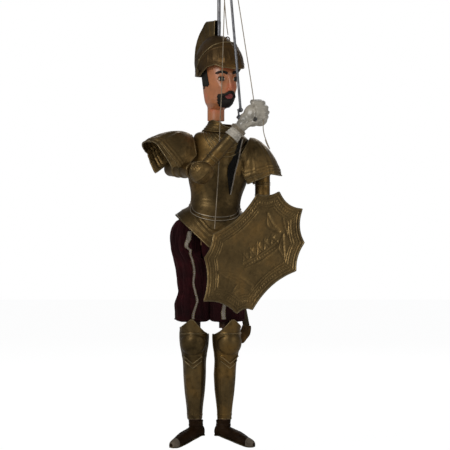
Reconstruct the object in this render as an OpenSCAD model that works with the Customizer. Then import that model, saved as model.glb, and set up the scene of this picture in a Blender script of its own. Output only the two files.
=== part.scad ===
// Rod marionette of an armoured knight, hung from the hook of its main rod.
// Lengths are millimetres. Heights are written above the soles of the shoes,
// and in_frame() then moves the origin up to the seat of the hanging hook.

/* [Rods] */
// Height of the hook's seat above the soles
hang_h = 1180; // [1140:5:1300]
// Diameter of the main rod
rod_d = 7; // [6:0.5:8]
// Diameter of the hand rod
hand_rod_d = 5; // [4:0.5:6]
// Inside radius of the hanging hook
hook_r = 14; // [10:1:18]
// Diameter of the wooden grip on the main rod
grip_d = 26; // [22:1:30]
// Length of the wooden grip
grip_l = 90; // [70:5:100]
// Diameter of the control strings
string_d = 1.8; // [1.4:0.1:2.4]

/* [Head and helmet] */
// How far the head is turned to the figure's left, in degrees
head_turn = 37; // [20:1:45]
// Thickness of the sheet brass
sheet = 1.6; // [1.2:0.1:2]
// Width of the helmet's crest
crest_w = 15; // [12:1:18]
// Diameter of the two visor rivets
rivet_d = 4; // [3:0.5:5]

/* [Torso] */
// Lean of the torso to the figure's left, in degrees
torso_lean = 5; // [3:0.5:6]
// Height of the two shoulder pins
shoulder_z = 556; // [552:1:560]
// Height of the neck's tilt pin
neck_pin_z = 596; // [594:1:600]
// Diameter of the neck pin
neck_pin_d = 6; // [5:0.5:7]
// Width across the two cheeks of the neck yoke
yoke_w = 30; // [28:1:32]
// Height of the hip axle
hip_z = 424; // [420:1:428]
// Diameter of the hip axle
hip_axle_d = 6; // [5:0.5:7]

/* [Arms] */
// Diameter of the upper arms
arm_d = 30; // [27:1:31]
// Diameter of the forearms at the elbow
forearm_d = 25; // [22:1:27]
// Length of an upper arm between its pins
upper_arm_l = 121.5; // [118:0.5:124]
// Length of a forearm from the elbow pin to the wrist
forearm_l = 115; // [112:0.5:118]
// Diameter of the shoulder and elbow pins
arm_pin_d = 5; // [4:0.5:6]
// Thickness of the shoulder knuckle and the elbow tongue
tongue_w = 8; // [7:0.5:10]
// Outside radius of the elbow cop
cop_r = 25; // [24:0.5:27]
// Diameter of the sword grip's hole through the right fist
sword_bore_d = 9; // [7:0.5:10]

/* [Shield] */
// Length of the shield between its end points
shield_l = 300; // [280:5:310]
// Width of the shield between its long edges
shield_w = 204; // [190:2:210]
// Width of the raised border band
border_w = 27; // [20:1:32]
// Height of the raised bands
band_h = 1.2; // [0.8:0.1:2]

/* [Legs] */
// Height of the knee pins
knee_z = 214; // [210:1:218]
// Diameter of the thigh cores
thigh_d = 24; // [20:1:26]
// Diameter of the knee pins
knee_pin_d = 5; // [4:0.5:6]
// Width of the knee tongue
knee_tongue_w = 12; // [10:0.5:14]
// Height of the ankle, where the shoe begins
ankle_z = 54; // [50:1:58]

/* [Fits] */
// Running clearance round a pin, on the radius
fit = 0.05; // [0.03:0.01:0.08]
// Gap between a piece and what it is seated on
seat = 0.15; // [0.1:0.05:0.25]
// Gap between faces that slide past each other
slide = 0.4; // [0.3:0.05:0.5]

/* [Hidden] */
$fn = 48;

// Places of the pins and of the pieces that the strings meet, in the figure
shoulder_right = [-95, 0, shoulder_z];
shoulder_left = [87, 0, shoulder_z];
arm_turn_right = 30.2;
arm_turn_left = 4.3;
arm_raise_right = 87.2;
arm_twist_right = 38.5;
elbow_bend_right = 76.5;
elbow_bend_left = 68.6;
hip_right = [-49, 0, hip_z];
hip_left = [12, 0, hip_z];
leg_turn_right = -6;
leg_turn_left = 22;
torso_foot = [-8, 0, 478];
visor_pivot = [-8, 750];
wrist_pivot = [39, -101, 656];
rod_pivot = [38, -104, 670];
grip_top = hang_h - 48;

// The shield keeps its place at the left wrist when an arm's length changes
forearm_way_left = [
  sin(arm_turn_left) * sin(elbow_bend_left), -cos(arm_turn_left) * sin(elbow_bend_left),
  -cos(elbow_bend_left)
];
wrist_left = shoulder_left - [0, 0, upper_arm_l] + forearm_l * forearm_way_left;
shield_centre = wrist_left + [-23.03, -53.23, -1.54];

// Sizes that follow from the ones above
rod_end_z = neck_pin_z + 10;
yoke_top = neck_pin_z + 21;
pin_hole = arm_pin_d + 2 * fit;
tongue_r = arm_d / 2 - 6;
tube_start = cop_r + 3;
thigh_head_w = 24;
knee_r = thigh_d / 2 + 1;
shoulder_plate_z = shoulder_z + arm_d / 2 + 1.5;
shoulder_plate_h = 6;

// A ring of points round an upright axis: s = [height, x, y, half width, half depth]
function ring(s, n, grow = 0, folds = 0, deep = 0) = [
  for (i = [0 : n - 1])
    let (a = 360 * i / n, k = 1 + deep * cos(folds * a))
      [s[1] + (s[3] + grow) * k * cos(a), s[2] + (s[4] + grow) * k * sin(a), s[0]]
];

// A closed solid through such rings, from the lowest to the highest
module loft(rows, n = 32, grow = 0, folds = 0, deep = 0) {
  m = len(rows);
  points = [for (s = rows) each ring(s, n, grow, folds, deep)];
  sides = [
    for (j = [0 : m - 2], i = [0 : n - 1])
      let (a = j * n + i, b = j * n + (i + 1) % n)
        each [[a, a + n, b], [b, a + n, b + n]]
  ];
  bottom = [for (i = [0 : n - 1]) i];
  top = [for (i = [n - 1 : -1 : 0]) (m - 1) * n + i];
  polyhedron(points, concat(sides, [bottom, top]));
}

// A row of a loft at another height
function at_height(s, z) = [z, s[1], s[2], s[3], s[4]];

// A sheet inside a loft, open at its foot, and at its top too unless it is capped
module shell(rows, wall, n = 32, capped = false) {
  last = rows[len(rows) - 1];
  body = [for (i = [0 : len(rows) - (capped ? 2 : 1)]) rows[i]];
  inner = concat(
    [at_height(rows[0], rows[0][0] - 1)],
    body,
    [at_height(last, last[0] + (capped ? -wall : 1))]
  );
  difference() {
    loft(rows, n);
    loft(inner, n, -wall);
  }
}

// Directions square to a cord's run, the same for the whole route so it never twists
function unit(v) = v / norm(v);
function run_at(p, i) =
  unit(p[min(i + 1, len(p) - 1)] - p[max(i - 1, 0)]);
function side_of(t, up) = unit(cross(up, t));

// A round cord swept along the points of its route
module cord(p, d, n = 8, up = [0.31, 0.89, 0.33]) {
  m = len(p);
  points = [
    for (i = [0 : m - 1])
      let (t = run_at(p, i), u = side_of(t, up), v = cross(t, u))
        for (k = [0 : n - 1]) p[i] + d / 2 * (cos(360 * k / n) * u + sin(360 * k / n) * v)
  ];
  sides = [
    for (j = [0 : m - 2], i = [0 : n - 1])
      let (a = j * n + i, b = j * n + (i + 1) % n)
        each [[a, a + n, b], [b, a + n, b + n]]
  ];
  polyhedron(
    points,
    concat(sides, [[for (i = [0 : n - 1]) i], [for (i = [n - 1 : -1 : 0]) (m - 1) * n + i]])
  );
}

// Frames in which the pieces are drawn
module in_frame() {
  translate([0, 0, -hang_h]) children();
}
module facing() {
  rotate([0, 0, head_turn - 90]) children();
}
module at_torso() {
  translate(torso_foot) rotate([0, torso_lean, 0]) children();
}
module at_upper_arm(left) {
  translate(left ? shoulder_left : shoulder_right)
    rotate([0, 0, left ? arm_turn_left : arm_turn_right])
      rotate([left ? 0 : -arm_raise_right, 0, 0])
        rotate([0, 0, left ? 0 : arm_twist_right])
          children();
}
module at_forearm(left) {
  at_upper_arm(left)
    translate([0, 0, -upper_arm_l])
      rotate([left ? -elbow_bend_left : -elbow_bend_right, 0, 0])
        children();
}
module at_shin(left) {
  translate([left ? hip_left[0] : hip_right[0], 0, knee_z]) children();
}
module across(length, d) {
  rotate([0, 90, 0]) cylinder(h = length, d = d, center = true);
}

// Main rod, its grip and the head

module main_rod() {
  eye_z = hang_h - hook_r;
  in_frame() color("dimgray") {
    translate([0, 0, rod_end_z + 1]) cylinder(h = eye_z - hook_r - rod_d / 2 - rod_end_z, d = rod_d);
    translate([0, 0, rod_end_z]) cylinder(h = 5, d = rod_d + 5);
    translate([0, 0, eye_z])
      rotate([90, 0, 0]) rotate([0, 0, -90])
        rotate_extrude(angle = 290) translate([hook_r + rod_d / 2, 0]) circle(d = rod_d);
  }
}

module rod_grip() {
  r = grip_d / 2;
  in_frame() color("saddlebrown")
    translate([0, 0, grip_top - grip_l])
      difference() {
        rotate_extrude()
          polygon([[0, 0], [r - 3, 0], [r - 1, 3], [r, grip_l / 2], [r - 1, grip_l - 3],
                   [r - 3, grip_l], [0, grip_l]]);
        translate([0, 0, -1]) cylinder(h = grip_l + 2, d = rod_d + 2 * seat);
      }
}

shield_string_top = [21, -36, grip_top - 47];
string_eye_r = 3;

module string_eye() {
  arm = [shield_string_top[0], shield_string_top[1], 0];
  reach = norm(arm);
  in_frame() color("dimgray")
    translate([0, 0, shield_string_top[2]]) {
      difference() {
        cylinder(h = 6, d = grip_d + 5, center = true);
        cylinder(h = 8, d = grip_d + 2 * seat, center = true);
      }
      rotate([0, 0, atan2(arm[1], arm[0])]) {
        translate([grip_d / 2 + 1.5, 0, 0]) rotate([0, 90, 0])
          cylinder(h = reach - grip_d / 2 - string_eye_r - 2, d = 3);
        translate([reach, 0, 0])
          rotate_extrude() translate([string_eye_r, 0]) circle(d = 2.4, $fn = 16);
      }
    }
}

// Rings of the head, along the way that it faces: height, place, 0, half depth, half width
head_rows = [
  [651, -12, 0, 17.5, 17.5], [674, -12, 0, 17.5, 17.5], [680, -2, 0, 29, 21],
  [688, 3, 0, 37, 25], [700, 3, 0, 40, 28], [716, 2, 0, 42, 30], [735, 0, 0, 43, 32],
  [755, -3, 0, 42, 33.5], [775, -4, 0, 39, 33], [792, -5, 0, 32, 28], [806, -5, 0, 20, 18]
];
beard_rows = [
  [679, 34, 0, 5, 6], [686, 36, 0, 9, 10], [698, 38, 0, 8, 11], [706, 38, 0, 6, 12]
];
nose_rows = [
  [711, 44, 0, 5, 5], [716, 45, 0, 7, 5], [724, 44, 0, 5, 3.5], [738, 40, 0, 4, 2.5]
];

module head() {
  in_frame() color("burlywood")
    difference() {
      facing() {
        loft(head_rows, 32);
        loft(beard_rows, 16);
        loft(nose_rows, 12);
      }
      translate([0, 0, 640]) cylinder(h = 180, d = rod_d + 2 * seat);
    }
}

// Rings of the helmet's outer face
skull_rows = [
  [742, -6, 0, 50, 40], [765, -6, 0, 51, 41], [785, -6, 0, 47, 38],
  [803, -6, 0, 38, 31], [816, -6, 0, 25, 20], [822, -6, 0, 12, 10]
];

module helmet_skull() {
  in_frame() color("darkolivegreen")
    difference() {
      facing() difference() {
        shell(skull_rows, sheet, 32, capped = true);
        translate([-2, -60, 700]) cube([80, 120, 65]);
      }
      translate([0, 0, 810]) cylinder(h = 20, d = rod_d + 2 * seat);
      facing() translate([visor_pivot[0], 0, visor_pivot[1]]) rotate([90, 0, 0])
        cylinder(h = 120, d = rivet_d + 2 * fit, center = true);
    }
}

// The crest runs from the nape over the crown, and is open at its front end
crest_edge = [
  [-52, 746], [-66, 750], [-73, 772], [-71, 796], [-62, 820], [-46, 840], [-32, 852],
  [-5, 852], [-5, 818], [-20, 806]
];

module helmet_crest() {
  in_frame() color("darkolivegreen")
    facing() difference() {
      rotate([90, 0, 0])
        linear_extrude(crest_w, center = true)
          polygon(crest_edge);
      rotate([90, 0, 0])
        linear_extrude(crest_w - 2 * sheet, center = true)
          polygon([[-48, 756], [-64, 756], [-70, 772], [-68, 795], [-60, 818], [-44, 838],
                   [-32, 849], [-4, 849], [-4, 800]]);
      loft(skull_rows, 32, seat);
    }
}

rivet_reach = 46;

module visor_rivets() {
  in_frame() color("dimgray")
    facing() translate([visor_pivot[0], 0, visor_pivot[1]])
      for (s = [-1, 1])
        rotate([-90 * s, 0, 0]) {
          translate([0, 0, 36.5]) cylinder(h = rivet_reach - 36.5 + 0.5, d = rivet_d);
          translate([0, 0, rivet_reach]) cylinder(h = 2, d = rivet_d + 4);
        }
}

visor_rows = [
  [738, 0, 0, 61, 44.6], [760, 0, 0, 61, 44.8], [772, -1, 0, 59, 44.4],
  [788, -3, 0, 54, 41], [802, -5, 0, 46, 35.5], [810, -6, 0, 39, 31]
];

module visor() {
  in_frame() color("darkolivegreen")
    facing() difference() {
      intersection() {
        shell(visor_rows, sheet, 32);
        rotate([90, 0, 0]) linear_extrude(120, center = true)
          polygon([[-17, 744], [-17, 758], [-9, 770], [4, 786], [20, 800], [34, 807], [70, 807],
                   [70, 752], [50, 756], [36, 762], [18, 758], [4, 748], [-4, 742], [-12, 740]]);
      }
      translate([visor_pivot[0], 0, visor_pivot[1]]) rotate([90, 0, 0])
        cylinder(h = 120, d = rivet_d + 2 * fit, center = true);
    }
}

eyelet_foot = [17, -20, 813];

module helmet_eyelet() {
  in_frame() color("peru")
    difference() {
      translate(eyelet_foot) {
        rotate([0, 0, head_turn]) rotate([90, 0, 0])
          rotate_extrude() translate([5, 0]) circle(d = 2.4, $fn = 16);
        translate([0, 0, -8]) cylinder(h = 4, d = 3);
      }
      facing() loft(skull_rows, 32, seat);
    }
}

// Neck joint: the yoke turns on the foot of the rod, and the torso tilts on its pin

module neck_yoke() {
  cheek = 6;
  in_frame() color("dimgray")
    difference() {
      union() {
        translate([-yoke_w / 2, -8, rod_end_z + 5.3])
          cube([yoke_w, 16, yoke_top - rod_end_z - 5.3]);
        for (s = [-1, 1]) translate([s * (yoke_w - cheek) / 2, 0, 0]) {
          translate([-cheek / 2, -8, neck_pin_z]) cube([cheek, 16, yoke_top - neck_pin_z]);
          translate([0, 0, neck_pin_z]) across(cheek, 16);
        }
      }
      translate([0, 0, rod_end_z]) cylinder(h = 20, d = rod_d + 2 * fit);
      translate([0, 0, neck_pin_z]) across(yoke_w + 2, neck_pin_d + 2 * fit);
    }
}

module neck_pin() {
  in_frame() color("dimgray")
    translate([0, 0, neck_pin_z]) {
      across(yoke_w + 1.2, neck_pin_d);
      for (s = [-1, 1]) translate([s * (yoke_w / 2 + 1.1), 0, 0]) across(1.4, neck_pin_d + 3);
    }
}

neck_eye_d = 8;
neck_eye_foot = 34;

module neck_eye() {
  in_frame() color("dimgray")
    difference() {
      union() {
        translate([0, 0, neck_pin_z]) across(yoke_w - 12 - 2 * slide, 17);
        translate([0, 0, neck_pin_z - neck_eye_foot]) cylinder(h = neck_eye_foot - 4, d = neck_eye_d);
      }
      translate([0, 0, neck_pin_z]) across(yoke_w, neck_pin_d + 2 * fit);
    }
}

// Torso, drawn upright about the waist and then leant

// Rings of the armour's outer face from the waist to the shoulders
chest_rows = [
  [-4, 0, 0, 43, 37], [0, 0, 0, 43, 37], [22, 0, 0, 49, 42], [52, 0, 0, 58, 50],
  [70, 0, 0, 62, 53], [95, 0, 0, 61, 50], [118, 0, 0, 57, 43], [138, 0, 0, 55, 37],
  [146, 0, 0, 50, 32], [150, 0, 0, 40, 29]
];
armhole_d = 34;
bar_w = 12;

module armholes() {
  in_frame() translate([torso_foot[0], 0, shoulder_plate_z + shoulder_plate_h / 2])
    across(220, armhole_d);
}

module chest_half(front) {
  difference() {
    in_frame() at_torso()
      intersection() {
        shell(chest_rows, sheet, 48);
        translate([-80, front ? -80 : seat / 2, -10]) cube([160, 80 - seat / 2, 180]);
      }
    armholes();
  }
}

module breastplate() {
  color("olive") chest_half(true);
}

module backplate() {
  color("olive") chest_half(false);
}

pelvis_gap = (hip_left[0] - hip_right[0]) - thigh_head_w - 2 * slide;
pelvis_mid = (hip_left[0] + hip_right[0]) / 2;

module torso_block() {
  in_frame() color("peru")
    difference() {
      union() {
        at_torso() intersection() {
          loft(chest_rows, 48, -sheet - seat);
          translate([-80, -80, -4]) cube([160, 160, 142]);
        }
        translate([pelvis_mid - pelvis_gap / 2, -18, hip_z - 20]) cube([pelvis_gap, 36, 80]);
      }
      translate([-yoke_w / 2 - 2.5, -17, neck_pin_z - 13]) cube([yoke_w + 5, 34, 60]);
      translate([0, 0, neck_pin_z - neck_eye_foot - 1])
        cylinder(h = neck_eye_foot + 4, d = neck_eye_d + 2 * seat);
      translate([-100, -bar_w / 2 - seat, shoulder_plate_z - seat])
        cube([200, bar_w + 2 * seat, shoulder_plate_h + 2 * seat]);
      translate([pelvis_mid, 0, hip_z]) across(200, hip_axle_d + 2 * fit);
    }
}

gorget_h = 20;
gorget_wave = 1.2;

// The flared collar, with ribs round it
gorget_rows = [
  for (i = [0 : 8])
    let (t = i / 8)
      [150 + seat + gorget_h * t, 0, 0, 39 - 12 * t + gorget_wave * (i % 2),
       28.5 - 3 * t + gorget_wave * (i % 2)]
];

module gorget() {
  in_frame() color("olive") at_torso() shell(gorget_rows, sheet, 32);
}

// The skirt, flared from the waist, with its lower edge drawn down to a point
fauld_rows = [
  [-78, 0, 0, 99, 67], [-38, 0, 0, 88, 59], [-14, 0, 0, 70, 51],
  [0, 0, 0, 52, 44], [10, 0, 0, 47.6, 41.4]
];

module fauld() {
  in_frame() color("olive") at_torso()
    intersection() {
      shell(fauld_rows, sheet, 48);
      rotate([90, 0, 0]) linear_extrude(160, center = true)
        polygon([[-90, -16], [-80, -18], [-4, -78], [4, -78], [80, -18], [90, -16],
                 [90, 20], [-90, 20]]);
    }
}

seat_r = 41;
seat_w = pelvis_gap - 1;

module breeches_seat() {
  in_frame() color("maroon")
    difference() {
      translate([pelvis_mid, 0, hip_z]) across(seat_w, 2 * seat_r);
      translate([pelvis_mid - pelvis_gap / 2 - seat, -18 - seat, hip_z - 20 - seat])
        cube([pelvis_gap + 2 * seat, 36 + 2 * seat, 80]);
    }
}

module shoulder_bar() {
  ends = [shoulder_right[0], shoulder_left[0]];
  in_frame() color("dimgray")
    translate([0, 0, shoulder_plate_z])
      difference() {
        union() {
          translate([ends[0], -bar_w / 2, 0]) cube([ends[1] - ends[0], bar_w, shoulder_plate_h]);
          for (x = ends) translate([x, 0, 0]) cylinder(h = shoulder_plate_h, d = 16);
        }
        for (x = ends) translate([x, 0, -1])
          cylinder(h = shoulder_plate_h + 2, d = pin_hole);
        translate([0, 0, -1]) cylinder(h = shoulder_plate_h + 2, d = neck_eye_d + 2 * seat);
      }
}

module hip_axle() {
  length = hip_left[0] - hip_right[0] + thigh_head_w + 4;
  in_frame() color("dimgray")
    translate([pelvis_mid, 0, hip_z]) {
      across(length, hip_axle_d);
      for (s = [-1, 1]) translate([s * (length / 2 - 0.8), 0, 0]) across(1.6, hip_axle_d + 4);
    }
}

// Pauldrons, each hung on a wire hinge at the top of the shoulder

pauldron_hinge_right = [-62, 0, 618];
pauldron_hinge_left = [63, 0, 613];
pauldron_pin_d = 3;
pauldron_tube = 7;
pauldron_pitch_right = 22;
pauldron_lift_right = 39.5;

module at_pauldron(left) {
  translate(left ? pauldron_hinge_left : pauldron_hinge_right)
    rotate([0, left ? 0 : pauldron_lift_right, 0])
      rotate([left ? 0 : -pauldron_pitch_right, 0, 0])
        mirror([left ? 0 : 1, 0, 0]) children();
}

pauldron_rows = [
  [-92, 22, 0, 42, 43], [-70, 22, 0, 40, 42], [-45, 17, 0, 37, 40],
  [-20, 9, 0, 30, 34], [-4, 3, 0, 20, 25], [5, 0, 0, 9, 14]
];

module pauldron(left) {
  in_frame() color("olive")
    at_pauldron(left) difference() {
      union() {
        intersection() {
          shell(pauldron_rows, sheet, 40, capped = true);
          rotate([90, 0, 0]) linear_extrude(120, center = true)
            polygon([[0, -62], [6, -88], [42, -67], [64, -71], [64, 10], [0, 10]]);
        }
        rotate([90, 0, 0]) cylinder(h = 18, d = pauldron_tube, center = true);
      }
      rotate([90, 0, 0]) cylinder(h = 60, d = pauldron_pin_d + 2 * fit, center = true);
      translate([-20, -3 * seat - 9 - 5, -pauldron_tube]) cube([26, 5, 2 * pauldron_tube]);
      translate([-20, 3 * seat + 9, -pauldron_tube]) cube([26, 5, 2 * pauldron_tube]);
    }
}

module pauldron_right() { pauldron(false); }
module pauldron_left() { pauldron(true); }

module pauldron_hinges() {
  in_frame() color("dimgray")
    for (left = [false, true])
      difference() {
        at_pauldron(left) {
          rotate([90, 0, 0]) cylinder(h = 24, d = pauldron_pin_d, center = true);
          for (s = [-1, 1]) translate([-24, s * 10.7, -14]) rotate([0, 60, 0])
            cylinder(h = 28, d = pauldron_pin_d - 0.4);
        }
        at_torso() loft(chest_rows, 48, seat);
      }
}

// Arms, each drawn hanging straight down from its shoulder pin

module shoulder_knuckle(left) {
  at = left ? shoulder_left : shoulder_right;
  neck_top = shoulder_plate_z - slide;
  in_frame() color("dimgray")
    translate(at) rotate([0, 0, left ? arm_turn_left : arm_turn_right]) {
      across(tongue_w, 2 * tongue_r - 2);
      translate([-tongue_w / 2, -4, 0]) cube([tongue_w, 8, neck_top - at[2]]);
      translate([0, 0, neck_top - at[2] - 0.1])
        cylinder(h = shoulder_plate_h + 2 * slide + 0.2, d = arm_pin_d);
      translate([0, 0, neck_top - at[2] + shoulder_plate_h + 2 * slide]) cylinder(h = 2, d = arm_pin_d + 4);
      across(arm_d - 1, arm_pin_d);
    }
}

module shoulder_knuckle_right() { shoulder_knuckle(false); }
module shoulder_knuckle_left() { shoulder_knuckle(true); }

module upper_arm(left) {
  slot = tongue_w / 2 + slide;
  in_frame() color("saddlebrown")
    at_upper_arm(left) difference() {
      union() {
        sphere(d = arm_d);
        translate([0, 0, -upper_arm_l + tube_start]) cylinder(h = upper_arm_l - tube_start, d = arm_d);
        translate([0, 0, -upper_arm_l]) {
          across(tongue_w, 2 * tongue_r);
          translate([-tongue_w / 2, -tongue_r, 0]) cube([tongue_w, 2 * tongue_r, tube_start + 1]);
        }
      }
      rotate([0, 0, left ? 0 : -arm_twist_right])
        translate([-slot, -arm_d, -11]) cube([2 * slot, 2 * arm_d, 40]);
      rotate([0, 0, left ? 0 : -arm_twist_right]) across(arm_d + 2, pin_hole);
      translate([0, 0, -upper_arm_l]) across(arm_d, pin_hole);
    }
}

module upper_arm_right() { upper_arm(false); }
module upper_arm_left() { upper_arm(true); }

cheek_w = 5;
fork_w = tongue_w + 2 * slide + 2 * cheek_w;

module elbow_pin(left) {
  in_frame() color("dimgray")
    at_forearm(left) across(fork_w + 1, arm_pin_d);
}

module elbow_pin_right() { elbow_pin(false); }
module elbow_pin_left() { elbow_pin(true); }

module forearm(left) {
  in_frame() color("olive")
    at_forearm(left) difference() {
      union() {
        translate([0, 0, -forearm_l + 26]) cylinder(h = forearm_l - 26 - 18, d = forearm_d);
        for (s = [-1, 1]) translate([s * (fork_w - cheek_w) / 2, 0, 0]) {
          across(cheek_w, 2 * tongue_r);
          translate([-cheek_w / 2, -tongue_r, -20]) cube([cheek_w, 2 * tongue_r, 20]);
        }
      }
      across(arm_d, pin_hole);
    }
}

module forearm_right() { forearm(false); }
module forearm_left() { forearm(true); }

// The elbow cop is a bowl on the outside of the bend, open where the arm passes
module elbow_cop(left) {
  in_frame() color("olive")
    at_forearm(left) difference() {
      rotate([0, 90, 0]) rotate([0, 0, 30]) rotate_extrude(angle = 150)
        intersection() {
          difference() {
            circle(r = cop_r);
            circle(r = cop_r - sheet);
          }
          translate([0, -cop_r]) square([cop_r, 2 * cop_r]);
        }
      translate([0, 0, -60]) cylinder(h = 60, d = forearm_d + 2 * seat);
    }
}

module elbow_cop_right() { elbow_cop(false); }
module elbow_cop_left() { elbow_cop(true); }

// Cuffs of ribbed pale cloth between the forearm and the fist
function cuff_rows(grow) = [
  for (i = [0 : 8])
    [-forearm_l + 26 * i / 8, 0, 0, 12 + 2.5 * i / 8 + (i % 2) + grow, 12 + 2.5 * i / 8 + (i % 2) + grow]
];

module cuff(left) {
  in_frame() color("lightgray")
    at_forearm(left) loft(cuff_rows(0), 24);
}

module cuff_right() { cuff(false); }
module cuff_left() { cuff(true); }

fist_centre_right = [70, -97, 657];
fist_r = 28;
sword_hole = [79, -97, 651];
wrist_wire_d = 3;
arm_axis_right = [cos(arm_turn_right), sin(arm_turn_right), 0];
elbow_axis_right =
  let (
    x = cos(arm_twist_right), y = sin(arm_twist_right) * cos(arm_raise_right),
    z = -sin(arm_twist_right) * sin(arm_raise_right)
  )
  [cos(arm_turn_right) * x - sin(arm_turn_right) * y,
   sin(arm_turn_right) * x + cos(arm_turn_right) * y, z];

// A round bar from one point to another
module bar(from, to, d) {
  v = to - from;
  translate(from)
    rotate([0, acos(v[2] / norm(v)), atan2(v[1], v[0])]) cylinder(h = norm(v), d = d);
}
module along_elbow_pin(left) {
  rotate([0, 0, left ? arm_turn_left : arm_turn_right])
    rotate([left ? 0 : -arm_raise_right, 0, 0])
      rotate([0, 0, left ? 0 : arm_twist_right]) children();
}

module fist_right() {
  in_frame() color("silver") {
    difference() {
      hull() {
        translate(fist_centre_right) rotate([0, 20, 0]) {
          translate([3, 0, 8]) sphere(r = fist_r - 6, $fn = 24);
          translate([3, 2, -10]) sphere(r = fist_r - 8, $fn = 24);
          translate([-14, 0, -4]) sphere(r = 13, $fn = 24);
        }
        at_forearm(false) translate([0, 0, -forearm_l - 6]) sphere(r = 13, $fn = 24);
      }
      translate(sword_hole) rotate([90, 0, -20])
        cylinder(h = 90, d = sword_bore_d, center = true);
      at_forearm(false) translate([0, 0, -forearm_l - seat]) cylinder(h = 40, d = 60);
      translate(wrist_pivot) sphere(r = 13);
      translate(rod_pivot + [5, 0, 2]) sphere(r = 9);
    }
    bar(wrist_pivot - 9 * elbow_axis_right, wrist_pivot + 21 * elbow_axis_right, wrist_wire_d);
    bar(wrist_pivot - 9.5 * elbow_axis_right, wrist_pivot - 8 * elbow_axis_right, wrist_wire_d + 2);
  }
}

module wrist_link() {
  in_frame() color("dimgray")
    difference() {
      union() {
        translate(wrist_pivot) along_elbow_pin(false) across(5, 9);
        bar(wrist_pivot + 3.5 * unit(rod_pivot - wrist_pivot), rod_pivot, 3.6);
        bar(rod_pivot - 2 * arm_axis_right, rod_pivot + 8 * arm_axis_right, wrist_wire_d);
        bar(rod_pivot + 7.2 * arm_axis_right, rod_pivot + 9 * arm_axis_right, 6);
      }
      translate(wrist_pivot) along_elbow_pin(false) across(20, wrist_wire_d + 2 * fit);
    }
}

rod_foot = rod_pivot + 4.7 * arm_axis_right;
hand_rod_top = [12.9, -74, 1018];

module hand_rod() {
  knob_d = 15;
  in_frame() color("dimgray")
    difference() {
      union() {
        bar(rod_foot - 1.9 * arm_axis_right, rod_foot + 1.9 * arm_axis_right, 9.4);
        bar(rod_foot + [0, 0, 3.4], hand_rod_top, hand_rod_d);
        translate(hand_rod_top + [0, 0, knob_d / 2 - 1]) sphere(d = knob_d);
      }
      bar(rod_foot - 6 * arm_axis_right, rod_foot + 6 * arm_axis_right,
          wrist_wire_d + 2 * fit);
    }
}

// Shield, drawn flat with its long way along X and its face up, then turned to its place

shield_way = unit([0.682, -0.376, 0.628]);
shield_face = unit(cross(shield_way, [-0.381, 0.513, 0.769]));
shield_up = cross(shield_face, shield_way);
shield_grip_d = 9;
grip_back = 38;
shield_sheet = 2;

module at_shield() {
  translate(shield_centre)
    multmatrix([
      [shield_way[0], shield_up[0], shield_face[0], 0],
      [shield_way[1], shield_up[1], shield_face[1], 0],
      [shield_way[2], shield_up[2], shield_face[2], 0],
      [0, 0, 0, 1]
    ]) children();
}

// Points of the outline from one corner to the next along a hollow side
function hollow(a, b, dip, n = 6) = [
  for (i = [0 : n - 1])
    let (t = i / n, v = b - a, q = [-v[1], v[0]] / norm(v))
      a + t * v + dip * 4 * t * (1 - t) * q
];
function shield_outline(inset = 0) =
  let (
    x = shield_l / 2 - inset, y = shield_w / 2 - inset,
    c = [
      [x, 0], [x * 0.71, y * 0.7], [x * 0.42, y], [-x * 0.42, y], [-x * 0.71, y * 0.7],
      [-x, 0], [-x * 0.71, -y * 0.7], [-x * 0.42, -y], [x * 0.42, -y], [x * 0.71, -y * 0.7]
    ],
    dip = [9, 6, 12, 6, 9, 9, 6, 12, 6, 9]
  )
  [for (i = [0 : 9]) each hollow(c[i], c[(i + 1) % 10], dip[i])];

module shield() {
  in_frame() color("olive")
    at_shield() {
      translate([0, 0, -shield_sheet])
        linear_extrude(shield_sheet) polygon(shield_outline());
      linear_extrude(band_h)
        difference() {
          polygon(shield_outline(4));
          polygon(shield_outline(border_w));
        }
      linear_extrude(band_h)
        for (i = [-2 : 2])
          translate([i * 17, 0]) polygon([[-8, -8], [8, -8], [i * 1.5, 28 - abs(i) * 2]]);
      translate([-42, -14, 0]) cube([84, 7, band_h * 1.5]);
    }
}

module shield_grip() {
  post = 37;
  in_frame() color("dimgray")
    at_shield() {
      translate([0, 0, -grip_back]) rotate([90, 0, 0])
        cylinder(h = 2 * post + 6, d = shield_grip_d, center = true);
      for (s = [-1, 1])
        translate([0, s * post, 1 - grip_back])
          cylinder(h = grip_back - 1 - shield_sheet, d = 6, $fn = 12);
    }
}

fist_left_centre = shield_centre - grip_back * shield_face;

module fist_left() {
  in_frame() color("silver")
    difference() {
      hull() {
        translate(fist_left_centre) {
          translate([0, 0, 7]) sphere(r = 17, $fn = 24);
          translate([0, 0, -7]) sphere(r = 17, $fn = 24);
        }
        at_forearm(true) translate([0, 0, -forearm_l - 4]) sphere(r = 13, $fn = 24);
      }
      at_forearm(true) translate([0, 0, -forearm_l - seat]) cylinder(h = 60, d = 70);
      at_shield() translate([0, 0, -grip_back]) rotate([90, 0, 0])
        cylinder(h = 120, d = shield_grip_d + 4 * fit, center = true);
    }
}

// Strings. The points of each route are chosen by hand, in the figure.

helmet_string_route = [
  [18, -20, 822], [16, -21, 835], [13.5, -20, 860], [10.5, -14, 895], [7, -7, 920], [4, -2, 934]
];
sword_string_route = [
  [68, -98, 689], [62, -94.5, 730], [54, -91.5, 780], [44, -87, 845], [32, -82.5, 920],
  [24, -79, 965], [17.4, -75.3, 1005]
];
sword_tail_route = [
  [86, -112, 652], [87, -116, 647], [86, -117, 636], [88, -116, 622], [92, -115, 610], [97, -114, 598],
  [99, -113.5, 594], [97, -113, 596], [93, -112, 604], [90, -111.5, 612]
];
// The upper part of the shield's string rises with its eye on the rod; share is 1 at the eye
string_bend_z = 640;
function drawn_up(x, y, share) =
  [x, y, string_bend_z + share * (grip_top - 48.4 - string_bend_z)];

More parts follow.
